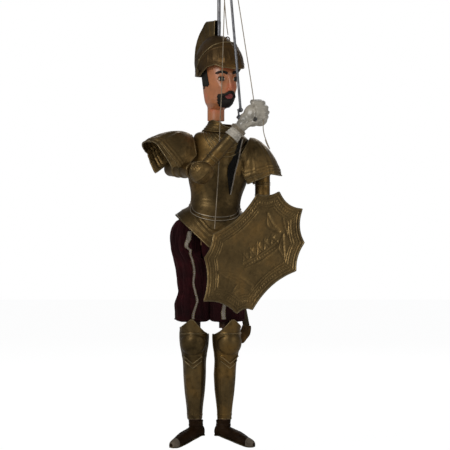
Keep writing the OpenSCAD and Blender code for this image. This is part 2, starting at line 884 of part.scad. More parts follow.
shield_string_route = [
  drawn_up(19.3, -38.4, 1), drawn_up(16, -43, 0.81), drawn_up(12, -50, 0.61), drawn_up(9, -58, 0.41),
  drawn_up(7, -64, 0.27), drawn_up(5, -69, 0.135), [2, -74, string_bend_z], [0, -77, 570],
  shield_centre + [-76, 83, 109], shield_centre + [-80.5, 82, 47]
];

module helmet_string() {
  in_frame() color("tan") cord(helmet_string_route, string_d);
}
module sword_string() {
  in_frame() color("tan") cord(sword_string_route, string_d);
}
module sword_string_tail() {
  in_frame() color("tan") cord(sword_tail_route, string_d);
}
module shield_string() {
  in_frame() color("tan") cord(shield_string_route, string_d);
}

tie_turns = 3;
tie_r = 15.6;

// The cord tied round the wrist: whole turns, a little apart, and a short hanging end
module wrist_tie() {
  steps = 24;
  turns = [
    for (i = [0 : tie_turns * steps])
      let (a = 360 * i / steps)
        [tie_r * cos(a), tie_r * sin(a), -forearm_l + 3 + i / steps * (string_d + 0.6)]
  ];
  in_frame() color("tan") at_forearm(false) cord(turns, string_d, 6, [0, 0, 1]);
}

// Legs

module thigh(left) {
  at = left ? hip_left : hip_right;
  shoulder = knee_z + knee_r + 11;
  in_frame() color("saddlebrown")
    translate([at[0], 0, 0]) difference() {
      union() {
        translate([0, 0, shoulder]) cylinder(h = hip_z - shoulder, d = thigh_d);
        translate([0, 0, hip_z]) across(thigh_head_w, thigh_d);
        translate([0, 0, knee_z]) across(knee_tongue_w, 2 * knee_r - 4);
        translate([-knee_tongue_w / 2, -knee_r + 2, knee_z])
          cube([knee_tongue_w, 2 * knee_r - 4, shoulder - knee_z + 1]);
      }
      translate([0, 0, hip_z]) across(80, hip_axle_d + 2 * fit);
      translate([0, 0, knee_z]) across(80, knee_pin_d + 2 * fit);
    }
}

module thigh_right() { thigh(false); }
module thigh_left() { thigh(true); }

// Rings of a breeches leg: height, place outward of the thigh, 0, half width, half depth
breeches_rows = [
  [250, 5, 0, 28, 34], [258, 6, 0, 33, 38], [272, 6, 0, 35, 40], [290, 1, 0, 30, 34],
  [300, 1, 0, 29, 33], [320, 3, 0, 32, 36], [350, 4, 0, 34, 38], [385, 7, 0, 35, 41],
  [404, 18, 0, 30, 42], [424, 18, 0, 30, 42], [440, 16, 0, 27, 38], [454, 9, 0, 19, 27],
  [462, 3, 0, 10, 14]
];
breeches_folds = 9;
fold_depth = 0.035;

module breeches(left) {
  at = left ? hip_left : hip_right;
  in_frame() color("maroon")
    translate([at[0], 0, 0]) difference() {
      mirror([left ? 0 : 1, 0, 0]) loft(breeches_rows, 36, 0, breeches_folds, fold_depth);
      cylinder(h = hip_z, d = thigh_d + 2 * seat);
      translate([0, 0, hip_z]) across(thigh_head_w + 2 * seat, thigh_d + 2 * seat);
      translate([(left ? -1 : 1) * (40 + thigh_head_w / 2), 0, hip_z])
        across(80, 2 * seat_r + 2 * slide);
      translate([0, 0, hip_z]) across(thigh_head_w + 10, hip_axle_d + 6);
    }
}
module breeches_right() { breeches(false); }
module breeches_left() { breeches(true); }

// Rings of the shin below the knee: height under the knee pin, 0, place, half width, half depth
shin_rows = [
  [ankle_z - knee_z, 0, 4, 14, 15], [-140, 0, 3, 15, 17], [-100, 0, 3, 19.5, 23], [-70, 0, 2, 21.5, 25],
  [-45, 0, -1, 22, 20], [-28, 0, -4, 22, 15]
];
shin_fork_w = knee_tongue_w + 2 * slide + 14;

module turned_leg(left) {
  rotate([0, 0, left ? leg_turn_left : leg_turn_right]) children();
}

module shin(left) {
  in_frame() color("saddlebrown")
    at_shin(left) difference() {
      union() {
        turned_leg(left) loft(shin_rows, 40);
        across(shin_fork_w, 2 * knee_r);
        translate([-shin_fork_w / 2, 1 - knee_r, -41]) cube([shin_fork_w, 2 * knee_r - 2, 41]);
      }
      translate([-knee_tongue_w / 2 - slide, -40, -knee_r - 2])
        cube([knee_tongue_w + 2 * slide, 80, 60]);
      across(80, knee_pin_d + 2 * fit);
    }
}

module shin_right() { shin(false); }
module shin_left() { shin(true); }

module knee_pin(left) {
  in_frame() color("dimgray")
    at_shin(left) across(shin_fork_w + 2, knee_pin_d);
}

module knee_pin_right() { knee_pin(false); }
module knee_pin_left() { knee_pin(true); }

// The greave is one sheet with its knee cop, and lies on the front of the shin
greave_rows = [
  [-158, 0, 4, 14.2, 15.3], [-140, 0, 3, 15.2, 17.3], [-100, 0, 3, 19.7, 23.3],
  [-70, 0, 2, 21.7, 25.3], [-45, 0, -1, 22.4, 24], [-28, 0, -4, 24.5, 28], [-8, 0, -5, 28, 33],
  [8, 0, -5, 29, 34], [22, 0, -6.5, 28, 33], [44, 0, -9, 28, 32.4]
];

module greave(left) {
  in_frame() color("olive")
    at_shin(left) turned_leg(left) intersection() {
      difference() {
        loft(greave_rows, 40, sheet);
        loft(concat([at_height(greave_rows[0], -170)], greave_rows,
                    [at_height(greave_rows[9], 60)]), 40);
      }
      rotate([90, 0, 0]) linear_extrude(80)
        polygon([[-40, -160], [40, -160], [40, 22], [26, 26], [8, 43], [-8, 43], [-26, 26], [-40, 22]]);
    }
}

module greave_right() { greave(false); }
module greave_left() { greave(true); }

// Shoes hang with the toes down and out
shoe_turn_right = -34;
shoe_turn_left = 32;

module shoe(left) {
  in_frame() color("saddlebrown")
    at_shin(left) translate([0, 0, -knee_z])
      difference() {
        hull() {
          translate([0, 4, ankle_z - 8]) cylinder(h = 8, r = 15, $fn = 32);
          rotate([0, 0, left ? shoe_turn_left : shoe_turn_right]) {
            translate([0, 8, ankle_z - 22]) sphere(r = 13, $fn = 24);
            translate([0, -38, 20]) sphere(r = 14, $fn = 24);
            translate([0, -62, 10]) sphere(r = 10, $fn = 24);
          }
        }
      }
}

module shoe_right() { shoe(false); }
module shoe_left() { shoe(true); }

// Scabbard and the strap that it swings from, behind the left hip
hanger_pin = [14, 63, 446];

module scabbard_hanger() {
  in_frame() color("saddlebrown")
    difference() {
      union() {
        translate(hanger_pin) across(10, 9);
        bar(hanger_pin + [0, -3.5, 2], [4, 38, 472], 5);
      }
      translate(hanger_pin) across(20, 3 + 2 * fit);
      at_torso() loft(chest_rows, 48, seat);
      at_torso() loft(fauld_rows, 48, seat);
    }
}

module scabbard() {
  tip = [64, hanger_pin[1] + 6, 236];
  in_frame() color("darkolivegreen") {
    translate(hanger_pin) {
      across(20, 3);
      for (s = [-1, 1]) translate([s * 8.5, 0, 0]) across(3, 9);
      for (s = [-1, 1]) bar([s * 8.5, 0, -3], [s * 7 + 4, 5, -22], 3);
    }
    hull() {
      translate(hanger_pin + [4, 6, -22]) cube([16, 6, 4], center = true);
      translate(tip + [-8, 0, 0]) cube([14, 6, 4], center = true);
    }
    translate(tip + [-8, 0, 2]) rotate([90, 17, 0]) linear_extrude(7, center = true)
      polygon([[-8, 0], [8, 0], [12, -14], [4, -36], [-4, -36], [-9, -14]]);
  }
}

main_rod();
rod_grip();
string_eye();
head();
helmet_skull();
helmet_crest();
visor_rivets();
helmet_eyelet();
helmet_string();
visor();
neck_yoke();
neck_pin();
torso_block();
neck_eye();
breastplate();
backplate();
gorget();
fauld();
breeches_seat();
shoulder_bar();
hip_axle();
pauldron_hinges();
pauldron_right();
pauldron_left();
shoulder_knuckle_right();
shoulder_knuckle_left();
upper_arm_right();
upper_arm_left();
elbow_pin_right();
elbow_pin_left();
forearm_right();
forearm_left();
elbow_cop_right();
elbow_cop_left();
cuff_right();
cuff_left();
fist_right();
fist_left();
wrist_link();
hand_rod();
wrist_tie();
sword_string();
sword_string_tail();
shield();
shield_grip();
shield_string();
scabbard();
scabbard_hanger();
thigh_right();
thigh_left();
breeches_right();
breeches_left();
shin_right();
shin_left();
knee_pin_right();
knee_pin_left();
greave_right();
greave_left();
shoe_right();
shoe_left();
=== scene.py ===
"""The looks of an armoured knight marionette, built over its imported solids."""

import math

import bpy
from bpy.props import FloatProperty, FloatVectorProperty, IntProperty, PointerProperty
from mathutils import Matrix, Vector


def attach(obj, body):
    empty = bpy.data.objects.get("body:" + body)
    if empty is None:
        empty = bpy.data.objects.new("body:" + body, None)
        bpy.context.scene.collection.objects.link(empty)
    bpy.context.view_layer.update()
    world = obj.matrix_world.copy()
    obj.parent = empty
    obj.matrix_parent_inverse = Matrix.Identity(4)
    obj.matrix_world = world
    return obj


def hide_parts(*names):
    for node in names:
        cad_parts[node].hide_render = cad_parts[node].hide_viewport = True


bl_info = {
    "name": "Knight Marionette",
    "version": (1, 0, 0),
    "blender": (4, 5, 0),
    "location": "3D View > Sidebar > Knight",
    "description": "Dresses the packed knight marionette with its finishes and fine shapes",
    "category": "Object",
}

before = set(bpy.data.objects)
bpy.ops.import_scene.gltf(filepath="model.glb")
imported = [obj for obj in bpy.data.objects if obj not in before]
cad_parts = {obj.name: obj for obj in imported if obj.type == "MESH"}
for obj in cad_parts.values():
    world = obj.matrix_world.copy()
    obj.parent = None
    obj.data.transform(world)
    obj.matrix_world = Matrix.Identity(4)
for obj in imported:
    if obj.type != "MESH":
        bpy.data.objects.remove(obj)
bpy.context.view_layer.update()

# Sizes that the looks share with the solids, in millimetres. Heights count from the soles of the shoes.
HANG = 1180.0
TORSO_HEIGHT = 478.0
TORSO_MIDDLE = -8.0
SHOULDER = 556.0
KNEE = 214.0
UPPER_ARM = 121.5
SHEET = 1.6

# How far the helmet and the face are turned from the front, in degrees
HELMET_TURN = 37.0
FACE_TURN = 31.0


def up(x, y, z):
    """A point of the figure, in millimetres, as a place in the scene, in metres."""
    return Vector((x, y, z - HANG)) * 0.001


def move(x, y, z):
    """A shift, in millimetres."""
    return Matrix.Translation((x, y, z))


def turn(angle, axis):
    """A turn in degrees about one of the axes."""
    return Matrix.Rotation(math.radians(angle), 4, axis)


# Places of the pieces in the figure, each as a frame in millimetres. The head is drawn looking along X.
FIGURE = Matrix.Identity(4)
FACING = turn(HELMET_TURN - 90, "Z")
FACE = turn(FACE_TURN - 90, "Z")
TORSO = move(TORSO_MIDDLE, 0, TORSO_HEIGHT) @ turn(5, "Y")
ARM_R = move(-95, 0, SHOULDER) @ turn(30.2, "Z") @ turn(-87.2, "X") @ turn(38.5, "Z")
ARM_L = move(87, 0, SHOULDER) @ turn(4.3, "Z")
FOREARM_R = ARM_R @ move(0, 0, -UPPER_ARM) @ turn(-76.5, "X")
FOREARM_L = ARM_L @ move(0, 0, -UPPER_ARM) @ turn(-68.6, "X")
PAULDRON_R = move(-62, 0, 618) @ turn(39.5, "Y") @ turn(-22, "X") @ Matrix.Diagonal((-1, 1, 1, 1))
PAULDRON_L = move(63, 0, 613)
SHIN_R = move(-49, 0, KNEE) @ turn(-6, "Z")
SHIN_L = move(12, 0, KNEE) @ turn(22, "Z")

# The shield's long way, its face and its short way, seen in the figure
SHIELD_MIDDLE = (72, -160, 391)
SHIELD_WAY = Vector((0.682, -0.376, 0.628)).normalized()
SHIELD_FACE = SHIELD_WAY.cross(Vector((-0.381, 0.513, 0.769))).normalized()
SHIELD_UP = SHIELD_FACE.cross(SHIELD_WAY)
SHIELD = move(*SHIELD_MIDDLE) @ Matrix((SHIELD_WAY, SHIELD_UP, SHIELD_FACE)).transposed().to_4x4()


# Values that a user may change

class KnightSizes(bpy.types.PropertyGroup):
    """Sizes of the fine shapes"""
    edge_wire: FloatProperty(
        name="Edge wire", description="Diameter of the wire rolled into the edges of the armour",
        default=0.003, min=0.001, max=0.006, unit="LENGTH")
    string: FloatProperty(
        name="String", description="Diameter of the strings",
        default=0.0018, min=0.001, max=0.003, unit="LENGTH")
    braid_width: FloatProperty(
        name="Braid width", description="Width of the braid on the breeches",
        default=0.009, min=0.004, max=0.014, unit="LENGTH")
    rope_turns: IntProperty(
        name="Turns at the wrist", description="Turns of string round the right wrist",
        default=3, min=1, max=6)


def colour(label, words, value):
    """A colour that a user may change."""
    return FloatVectorProperty(name=label, description=words, subtype="COLOR", size=3,
                               min=0.0, max=1.0, default=value)


class KnightColours(bpy.types.PropertyGroup):
    """Colours of the finishes"""
    brass: colour("Brass", "Aged brass of the armour", (0.120, 0.077, 0.029))
    dark_brass: colour("Dark brass", "Tarnished brass of the helmet", (0.098, 0.058, 0.023))
    trim: colour("Edge metal", "Paler metal of the edge wires", (0.20, 0.145, 0.070))
    steel: colour("Steel", "Rods and pins", (0.20, 0.20, 0.21))
    skin: colour("Skin paint", "Painted face and neck", (0.50, 0.185, 0.075))
    hair: colour("Hair paint", "Painted hair and beard", (0.020, 0.017, 0.013))
    lips: colour("Lip paint", "Painted mouth", (0.30, 0.055, 0.05))
    gauntlet: colour("Gauntlet paint", "Grey of the painted hands", (0.40, 0.36, 0.29))
    cuff: colour("Cuff cloth", "Cloth at the wrists", (0.70, 0.63, 0.52))
    velvet: colour("Velvet", "Breeches", (0.020, 0.0022, 0.0030))
    braid: colour("Braid", "Braid down the breeches", (0.42, 0.36, 0.29))
    string: colour("String", "Strings", (0.40, 0.31, 0.20))
    leather: colour("Leather", "Shoes and strap", (0.014, 0.0060, 0.0018))
    limb: colour("Limb wood", "Dark stained wood", (0.062, 0.028, 0.013))
    block: colour("Body wood", "Plain wood inside", (0.25, 0.14, 0.065))
    scabbard: colour("Scabbard", "Covering of the scabbard", (0.060, 0.046, 0.024))


# Finishes

FINISHES = {}


class Nodes:
    """One material's nodes, with a short word for each step of building them."""

    def __init__(self, name):
        self.material = bpy.data.materials.new(name)
        self.material.use_nodes = True
        self.tree = self.material.node_tree
        self.shader = next(n for n in self.tree.nodes if n.type == "BSDF_PRINCIPLED")
        place = self.tree.nodes.new("ShaderNodeTexCoord")
        self.place = place.outputs["Object"]

    def node(self, kind, **sockets):
        n = self.tree.nodes.new(kind)
        for key, value in sockets.items():
            self.feed(n.inputs[key.replace("_", " ")], value)
        return n

    def feed(self, socket, value):
        if isinstance(value, bpy.types.NodeSocket):
            self.tree.links.new(value, socket)
        else:
            socket.default_value = value

    def noise(self, scale, detail=4.0, rough=0.55, where=None):
        n = self.node("ShaderNodeTexNoise", Scale=scale, Detail=detail, Roughness=rough)
        self.feed(n.inputs["Vector"], where or self.place)
        return n.outputs["Fac"]

    def ramp(self, fac, stops):
        n = self.tree.nodes.new("ShaderNodeValToRGB")
        self.feed(n.inputs["Fac"], fac)
        while len(n.color_ramp.elements) < len(stops):
            n.color_ramp.elements.new(0.5)
        for e, (pos, c) in zip(n.color_ramp.elements, stops):
            e.position = pos
            e.color = (*c, 1.0) if hasattr(c, "__len__") else (c, c, c, 1.0)
        return n.outputs["Color"]

    def mix(self, fac, a, b, how="MIX"):
        n = self.tree.nodes.new("ShaderNodeMix")
        n.data_type = "RGBA"
        n.blend_type = how
        self.feed(n.inputs[0], fac)
        self.feed(n.inputs[6], (*a, 1.0) if isinstance(a, tuple) else a)
        self.feed(n.inputs[7], (*b, 1.0) if isinstance(b, tuple) else b)
        return n.outputs[2]

    def bump(self, height, strength, distance=0.001):
        old = self.shader.inputs["Normal"].links
        n = self.node("ShaderNodeBump", Strength=strength, Distance=distance, Height=height)
        if old:  # a second bump lies on the first
            self.feed(n.inputs["Normal"], old[0].from_socket)
        self.feed(self.shader.inputs["Normal"], n.outputs["Normal"])

    def set(self, **sockets):
        for key, value in sockets.items():
            self.feed(self.shader.inputs[key.replace("_", " ")], value)


def shade(c, k):
    """A colour made darker or paler."""
    return tuple(min(1.0, v * k) for v in c)


def metal_finish(name, base, rough=0.42, tarnish=0.5, hammer=0.25, warm=(1.15, 1.0, 0.72)):
    """Aged sheet metal: cloudy tarnish, paler rubbed places, fine scratches and a beaten surface."""
    m = Nodes(name)
    c = tuple(base)
    cloud = m.noise(14.0, 6.0, 0.62)
    spots = m.noise(85.0, 5.0, 0.6)
    warmer = tuple(min(1.0, v * w) for v, w in zip(c, warm))
    body = m.ramp(cloud, [(0.30, shade(c, 1.0 - tarnish)), (0.50, c), (0.68, shade(warmer, 1.35))])
    dark = m.ramp(spots, [(0.32, 0.55), (0.52, 1.0)])
    m.set(Base_Color=m.mix(0.8, body, dark, "MULTIPLY"), Metallic=0.92)
    m.set(Roughness=m.ramp(spots, [(0.30, rough + 0.20), (0.62, rough - 0.06)]))
    m.bump(m.noise(45.0, 2.0), hammer, 0.0018)
    scratch = m.node("ShaderNodeMapping")
    m.feed(scratch.inputs["Vector"], m.place)
    scratch.inputs["Scale"].default_value = (1.0, 1.0, 14.0)
    m.bump(m.noise(240.0, 3.0, 0.6, scratch.outputs["Vector"]), 0.18, 0.0004)
    return m.material


def paint_finish(name, base, rough=0.45, blotch=0.22, flush=None, gloss=0.4):
    """Hand-laid paint on carved wood, with uneven colour and brush marks."""
    m = Nodes(name)
    c = tuple(base)
    warm = tuple(flush) if flush else shade(c, 1.25)
    body = m.ramp(m.noise(38.0, 5.0), [(0.30, shade(c, 1.0 - blotch)), (0.52, c), (0.74, warm)])
    worn = m.ramp(m.noise(160.0, 6.0, 0.7), [(0.24, 0.62), (0.42, 1.0)])
    m.set(Base_Color=m.mix(0.55, body, worn, "MULTIPLY"), Roughness=rough)
    m.set(Specular_IOR_Level=gloss)
    m.bump(m.noise(210.0, 4.0), 0.25, 0.0006)
    m.bump(m.noise(30.0, 2.0), 0.20, 0.0018)
    return m.material


def wood_finish(name, base, rough=0.55):
    """Wood with its grain along the piece."""
    m = Nodes(name)
    c = tuple(base)
    stretch = m.node("ShaderNodeMapping")
    m.feed(stretch.inputs["Vector"], m.place)
    stretch.inputs["Scale"].default_value = (1.0, 1.0, 0.12)
    grain = m.noise(190.0, 5.0, 0.65, stretch.outputs["Vector"])
    cloud = m.noise(22.0, 3.0)
    body = m.ramp(grain, [(0.30, shade(c, 0.55)), (0.55, c), (0.75, shade(c, 1.4))])
    m.set(Base_Color=m.mix(0.5, body, m.ramp(cloud, [(0.3, 0.7), (0.7, 1.0)]), "MULTIPLY"))
    m.set(Roughness=rough)
    m.set(Specular_IOR_Level=0.2)
    m.bump(grain, 0.3, 0.0006)
    return m.material


def velvet_finish(name, base):
    """Worn velvet: a soft sheen at grazing angles and crushed patches."""
    m = Nodes(name)
    c = tuple(base)
    crushed = m.noise(26.0, 5.0, 0.6)
    body = m.ramp(crushed, [(0.32, shade(c, 0.35)), (0.55, c), (0.72, shade(c, 2.1))])
    pile = m.noise(900.0, 2.0)
    m.set(Base_Color=m.mix(0.5, body, m.ramp(pile, [(0.3, 0.6), (0.7, 1.0)]), "MULTIPLY"))
    m.set(Roughness=0.95, Sheen_Weight=0.16, Sheen_Roughness=0.45, Sheen_Tint=(0.40, 0.12, 0.12, 1.0))
    m.set(Specular_IOR_Level=0.15)
    m.bump(pile, 0.35, 0.0005)
    m.bump(crushed, 0.45, 0.004)
    return m.material


def cloth_finish(name, base, scale=520.0, fuzz=0.25):
    """Woven cloth or braid, with crossing threads."""
    m = Nodes(name)
    c = tuple(base)
    waves = []
    for way in ("X", "Z"):
        w = m.node("ShaderNodeTexWave", Scale=scale, Distortion=1.5, Detail=2.0)
        w.bands_direction = way
        m.feed(w.inputs["Vector"], m.place)
        waves.append(w.outputs["Fac"])
    weave = m.mix(0.5, waves[0], waves[1], "MULTIPLY")
    body = m.ramp(m.noise(60.0, 5.0), [(0.3, shade(c, 0.62)), (0.55, c), (0.75, shade(c, 1.3))])
    m.set(Base_Color=m.mix(0.45, body, weave, "MULTIPLY"), Roughness=0.9)
    m.set(Sheen_Weight=fuzz, Sheen_Roughness=0.5)
    m.set(Specular_IOR_Level=0.2)
    m.bump(weave, 0.5, 0.0004)
    return m.material


def leather_finish(name, base, worn=(0.034, 0.018, 0.008)):
    """Old leather with a fine grain, rubbed pale in places."""
    m = Nodes(name)
    c = tuple(base)
    cells = m.node("ShaderNodeTexVoronoi", Scale=420.0)
    m.feed(cells.inputs["Vector"], m.place)
    rub = m.ramp(m.noise(34.0, 6.0, 0.7), [(0.52, 0.0), (0.72, 1.0)])
    body = m.ramp(m.noise(70.0, 4.0), [(0.3, shade(c, 0.6)), (0.7, shade(c, 1.5))])
    m.set(Base_Color=m.mix(rub, body, tuple(worn)))
    m.set(Roughness=m.ramp(m.noise(90.0, 3.0), [(0.3, 0.42), (0.7, 0.66)]))
    m.set(Specular_IOR_Level=0.05)
    m.bump(cells.outputs["Distance"], 0.35, 0.0005)
    m.bump(m.noise(40.0, 4.0), 0.3, 0.002)
    return m.material


def string_finish(name, base):
    """Twisted cotton string."""
    m = Nodes(name)
    c = tuple(base)
    w = m.node("ShaderNodeTexWave", Scale=260.0, Distortion=2.0, Detail=2.0)
    w.bands_direction = "DIAGONAL"
    m.feed(w.inputs["Vector"], m.place)
    body = m.ramp(m.noise(120.0, 5.0), [(0.3, shade(c, 0.6)), (0.55, c), (0.75, shade(c, 1.35))])
    m.set(Base_Color=m.mix(0.5, body, w.outputs["Fac"], "MULTIPLY"), Roughness=0.92, Sheen_Weight=0.2)
    m.bump(w.outputs["Fac"], 0.6, 0.0004)
    return m.material


def make_finishes(colours):
    """Makes every material once, under the short name that the pieces use."""
    plain_tint = (1.05, 1.0, 0.95)
    FINISHES.update({
        "brass": metal_finish("aged_brass", colours.brass),
        # A paler copy of the aged brass for the pauldrons, elbow guards, shield and crest: painted light,
        # for the light that these pieces catch.
        "painted_light_brass": metal_finish("brass_painted_lighter", shade(colours.brass, 1.35), warm=(1.1, 1.0, 0.85)),
        "dark_brass": metal_finish("tarnished_brass", colours.dark_brass, rough=0.48, tarnish=0.4),
        "trim": metal_finish("rubbed_edge", colours.trim, rough=0.36, tarnish=0.35, hammer=0.08,
                             warm=(1.1, 1.0, 0.88)),
        "wire": metal_finish("pale_wire", (0.40, 0.33, 0.24), rough=0.4, tarnish=0.3, hammer=0.05,
                             warm=plain_tint),
        "steel": metal_finish("dull_steel", colours.steel, tarnish=0.4, hammer=0.1, warm=plain_tint),
        "skin": paint_finish("painted_skin", colours.skin, rough=0.32, flush=(0.58, 0.125, 0.050),
                             gloss=0.6),
        "hair": paint_finish("painted_hair", colours.hair, rough=0.6, gloss=0.15),
        "lips": paint_finish("painted_lips", colours.lips, rough=0.4),
        "eye": paint_finish("painted_eye", (0.60, 0.53, 0.42), rough=0.25, blotch=0.1),
        "gauntlet": paint_finish("painted_gauntlet", colours.gauntlet, rough=0.30, blotch=0.6, gloss=0.7),
        "cuff": cloth_finish("cuff_cloth", colours.cuff),
        "velvet": velvet_finish("worn_velvet", colours.velvet),
        "braid": cloth_finish("braid_thread", colours.braid, scale=700.0, fuzz=0.1),
        "string": string_finish("cotton_string", colours.string),
        "leather": leather_finish("worn_leather", colours.leather),
        "toe": leather_finish("rubbed_toe", (0.12, 0.095, 0.07), worn=(0.26, 0.21, 0.16)),
        # Near-black cloth for the ribbon down the breast. This is painted shade: a dark sheet where the
        # forearm's shadow falls.
        "ribbon": cloth_finish("painted_shade_ribbon", (0.010, 0.008, 0.006), scale=900.0, fuzz=0.0),
        "limb": wood_finish("stained_wood", colours.limb),
        "block": wood_finish("plain_wood", colours.block),
        "grip": wood_finish("turned_wood", (0.13, 0.06, 0.028), rough=0.4),
        "scabbard": leather_finish("scabbard_skin", colours.scabbard, worn=(0.16, 0.13, 0.08)),
    })


# Making meshes

def smooth(xs, ys, x):
    """A value between the given ones, with a smooth run and no overshoot."""
    if x <= xs[0]:
        return ys[0]
    if x >= xs[-1]:
        return ys[-1]
    i = max(k for k in range(len(xs) - 1) if xs[k] <= x)
    h = xs[i + 1] - xs[i]
    step = (ys[i + 1] - ys[i]) / h

    def slope(k):
        if k <= 0 or k >= len(xs) - 1:
            return step
        a = (ys[k] - ys[k - 1]) / (xs[k] - xs[k - 1])
        b = (ys[k + 1] - ys[k]) / (xs[k + 1] - xs[k])
        return 0.0 if a * b <= 0 else 2 * a * b / (a + b)

    t = (x - xs[i]) / h
    return ((1 + 2 * t) * (1 - t) ** 2 * ys[i] + t * (1 - t) ** 2 * h * slope(i)
            + t * t * (3 - 2 * t) * ys[i + 1] + t * t * (t - 1) * h * slope(i + 1))


def bell(x, centre, width):
    """A soft hump from 0 to 1 round a centre."""
    return math.exp(-((x - centre) / width) ** 2)


def ridge(x, centre, width):
    """A raised line with sloping sides."""
    return max(0.0, 1.0 - abs(x - centre) / width)


class Form:
    """Rings of a form along its height: height, x, y, half width, half depth. Relief stands out of it."""

    def __init__(self, rows, relief=None):
        self.z = [r[0] for r in rows]
        self.columns = [[r[k] for r in rows] for k in range(1, 5)]
        self.relief = relief

    def ring(self, z):
        return [smooth(self.z, c, z) for c in self.columns]

    def at(self, angle, z, out=0.0):
        x, y, w, d = self.ring(z)
        a = math.radians(angle)
        k = out + (self.relief(angle, z) if self.relief else 0.0)
        return Vector((x + (w + k) * math.cos(a), y + (d + k) * math.sin(a), z))

    def front(self, x, z, out=0.0):
        """The point of the front face at a given x."""
        cx, _, w, _ = self.ring(z)
        return self.at(-math.degrees(math.acos(max(-1.0, min(1.0, (x - cx) / w)))), z, out)


def piece(name, shape, finish, body, at=FIGURE, replaces=(), thick=0.0, sharp=None, mats=()):
    """A mesh from points in millimetres in the frame at, in its place and on its body."""
    verts, faces = shape
    mesh = bpy.data.meshes.new(name)
    points = [up(*(at @ Vector(v))) for v in verts]
    mesh.from_pydata(points, [], faces)
    mesh.validate()
    middle = sum(points, Vector()) / len(points)
    lean = sum((p.center - middle).dot(p.normal) * p.area for p in mesh.polygons)
    if lean < 0:
        mesh.flip_normals()
    mesh.polygons.foreach_set("use_smooth", [True] * len(mesh.polygons))
    obj = bpy.data.objects.new(name, mesh)
    bpy.context.scene.collection.objects.link(obj)
    for key in (finish, *mats):
        mesh.materials.append(FINISHES[key])
    if thick:
        m = obj.modifiers.new("Sheet", "SOLIDIFY")
        m.thickness = thick * 0.001
        m.offset = -1.0
    if sharp is not None:
        mesh.set_sharp_from_angle(angle=math.radians(sharp))
    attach(obj, body)
    if replaces:
        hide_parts(*replaces)
    return obj


def grid(point, nu, nv, wrap=False):
    """Points and faces of a surface given by point(u, v), with u and v from 0 to 1."""
    n = nu if wrap else nu + 1
    verts = [point(i / nu, j / nv) for j in range(nv + 1) for i in range(n)]
    faces = [(j * n + i, j * n + (i + 1) % n, (j + 1) * n + (i + 1) % n, (j + 1) * n + i)
             for j in range(nv) for i in range(nu)]
    return verts, faces


def body_of_rings(form, z0, z1, nu=48, nv=40, lip=1.5):
    """A closed body of a form's rings with rounded ends."""
    def point(u, v):
        if v <= 0.0 or v >= 1.0:
            z = z0 if v <= 0 else z1
            return Vector((*form.ring(z)[:2], z))
        t = (v * (nv + 2) - 1) / nv
        k = -lip if t <= 0.001 or t >= 0.999 else 0.0
        return form.at(360 * u, z0 + (z1 - z0) * min(1, max(0, t)), k)
    return grid(point, nu, nv + 2, wrap=True)


def joined(parts):
    """Several meshes as one list of points and faces."""
    verts, faces = [], []
    for v, f in parts:
        n = len(verts)
        verts += v
        faces += [tuple(i + n for i in face) for face in f]
    return verts, faces


def tube(points, diameter, sides=8, closed=False):
    """A round wire along points, in millimetres. The diameter is in metres."""
    p = [Vector(q) for q in points]
    n, r = len(p), diameter * 500.0
    verts, faces, side = [], [], None
    for i in range(n):
        a, b = (p[i - 1], p[(i + 1) % n]) if closed else (p[max(i - 1, 0)], p[min(i + 1, n - 1)])
        t = (b - a).normalized()
        if side is None:
            side = t.cross(Vector((0.31, 0.89, 0.33))).normalized()
        side = (side - t * side.dot(t)).normalized()
        other = t.cross(side)
        verts += [p[i] + r * (math.cos(a) * side + math.sin(a) * other)
                  for a in [math.tau * k / sides for k in range(sides)]]
    for i in range(n if closed else n - 1):
        j = (i + 1) % n
        faces += [(i * sides + k, j * sides + k, j * sides + (k + 1) % sides, i * sides + (k + 1) % sides)
                  for k in range(sides)]
    if not closed:
        faces += [tuple(range(sides)), tuple(range((n - 1) * sides, n * sides))[::-1]]
    return verts, faces


def run(points, step=3.0):
    """Points at even steps along a smooth curve through the given ones."""
    p = [Vector(q) for q in points]
    s = [0.0]
    for a, b in zip(p, p[1:]):
        s.append(s[-1] + (b - a).length)
    n = max(2, int(s[-1] / step))
    return [Vector([smooth(s, [q[k] for q in p], s[-1] * i / n) for k in range(3)]) for i in range(n + 1)]


def circle(centre, radius, n, axis="Z"):
    """Points round a circle that faces along an axis, Z or X."""
    x, y, z = centre
    points = []
    for k in range(n):
        a, b = radius * math.cos(math.tau * k / n), radius * math.sin(math.tau * k / n)
        points.append(Vector((x + a, y + b, z) if axis == "Z" else (x, y + a, z + b)))
    return points


def blob(centre, size, turn_by=(0, 0, 0), n=14):
    """An egg form, as points and faces."""
    t = Matrix.Translation(centre)
    for angle, axis in zip(turn_by, "XYZ"):
        t = t @ turn(angle, axis)

    def point(u, v):
        a, b = math.tau * u, math.pi * (v * 0.98 + 0.01) - math.pi / 2
        return t @ Vector((size[0] * math.cos(b) * math.cos(a), size[1] * math.cos(b) * math.sin(a),
                           size[2] * math.sin(b)))
    verts, faces = grid(point, n, n, wrap=True)
    return verts, faces + [tuple(range(n))[::-1], tuple(range(n * n, n * n + n))]


def dress(node, finish):
    """Gives a solid of the model its finish."""
    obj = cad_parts[node]
    for place in obj.material_slots:
        place.material = FINISHES[finish]
    if not obj.material_slots:
        obj.data.materials.append(FINISHES[finish])


# Stage

FLOOR_HEIGHT = -34.0
FLOOR_HALF = 6.0
# Each lamp's name, place in metres, size and power
LAMPS = (("key", (-1.6, -2.6, 0.6), 1.4, 42),
         ("fill", (2.4, -2.0, -0.2), 2.0, 13),
         ("rim", (0.4, 2.2, 0.6), 1.6, 16))
LAMP_AIM = (0, 0, 500)
VIEW_MIDDLE = (12, 0, 444)
CAMERA_PLACE = (12, -4000, 514)


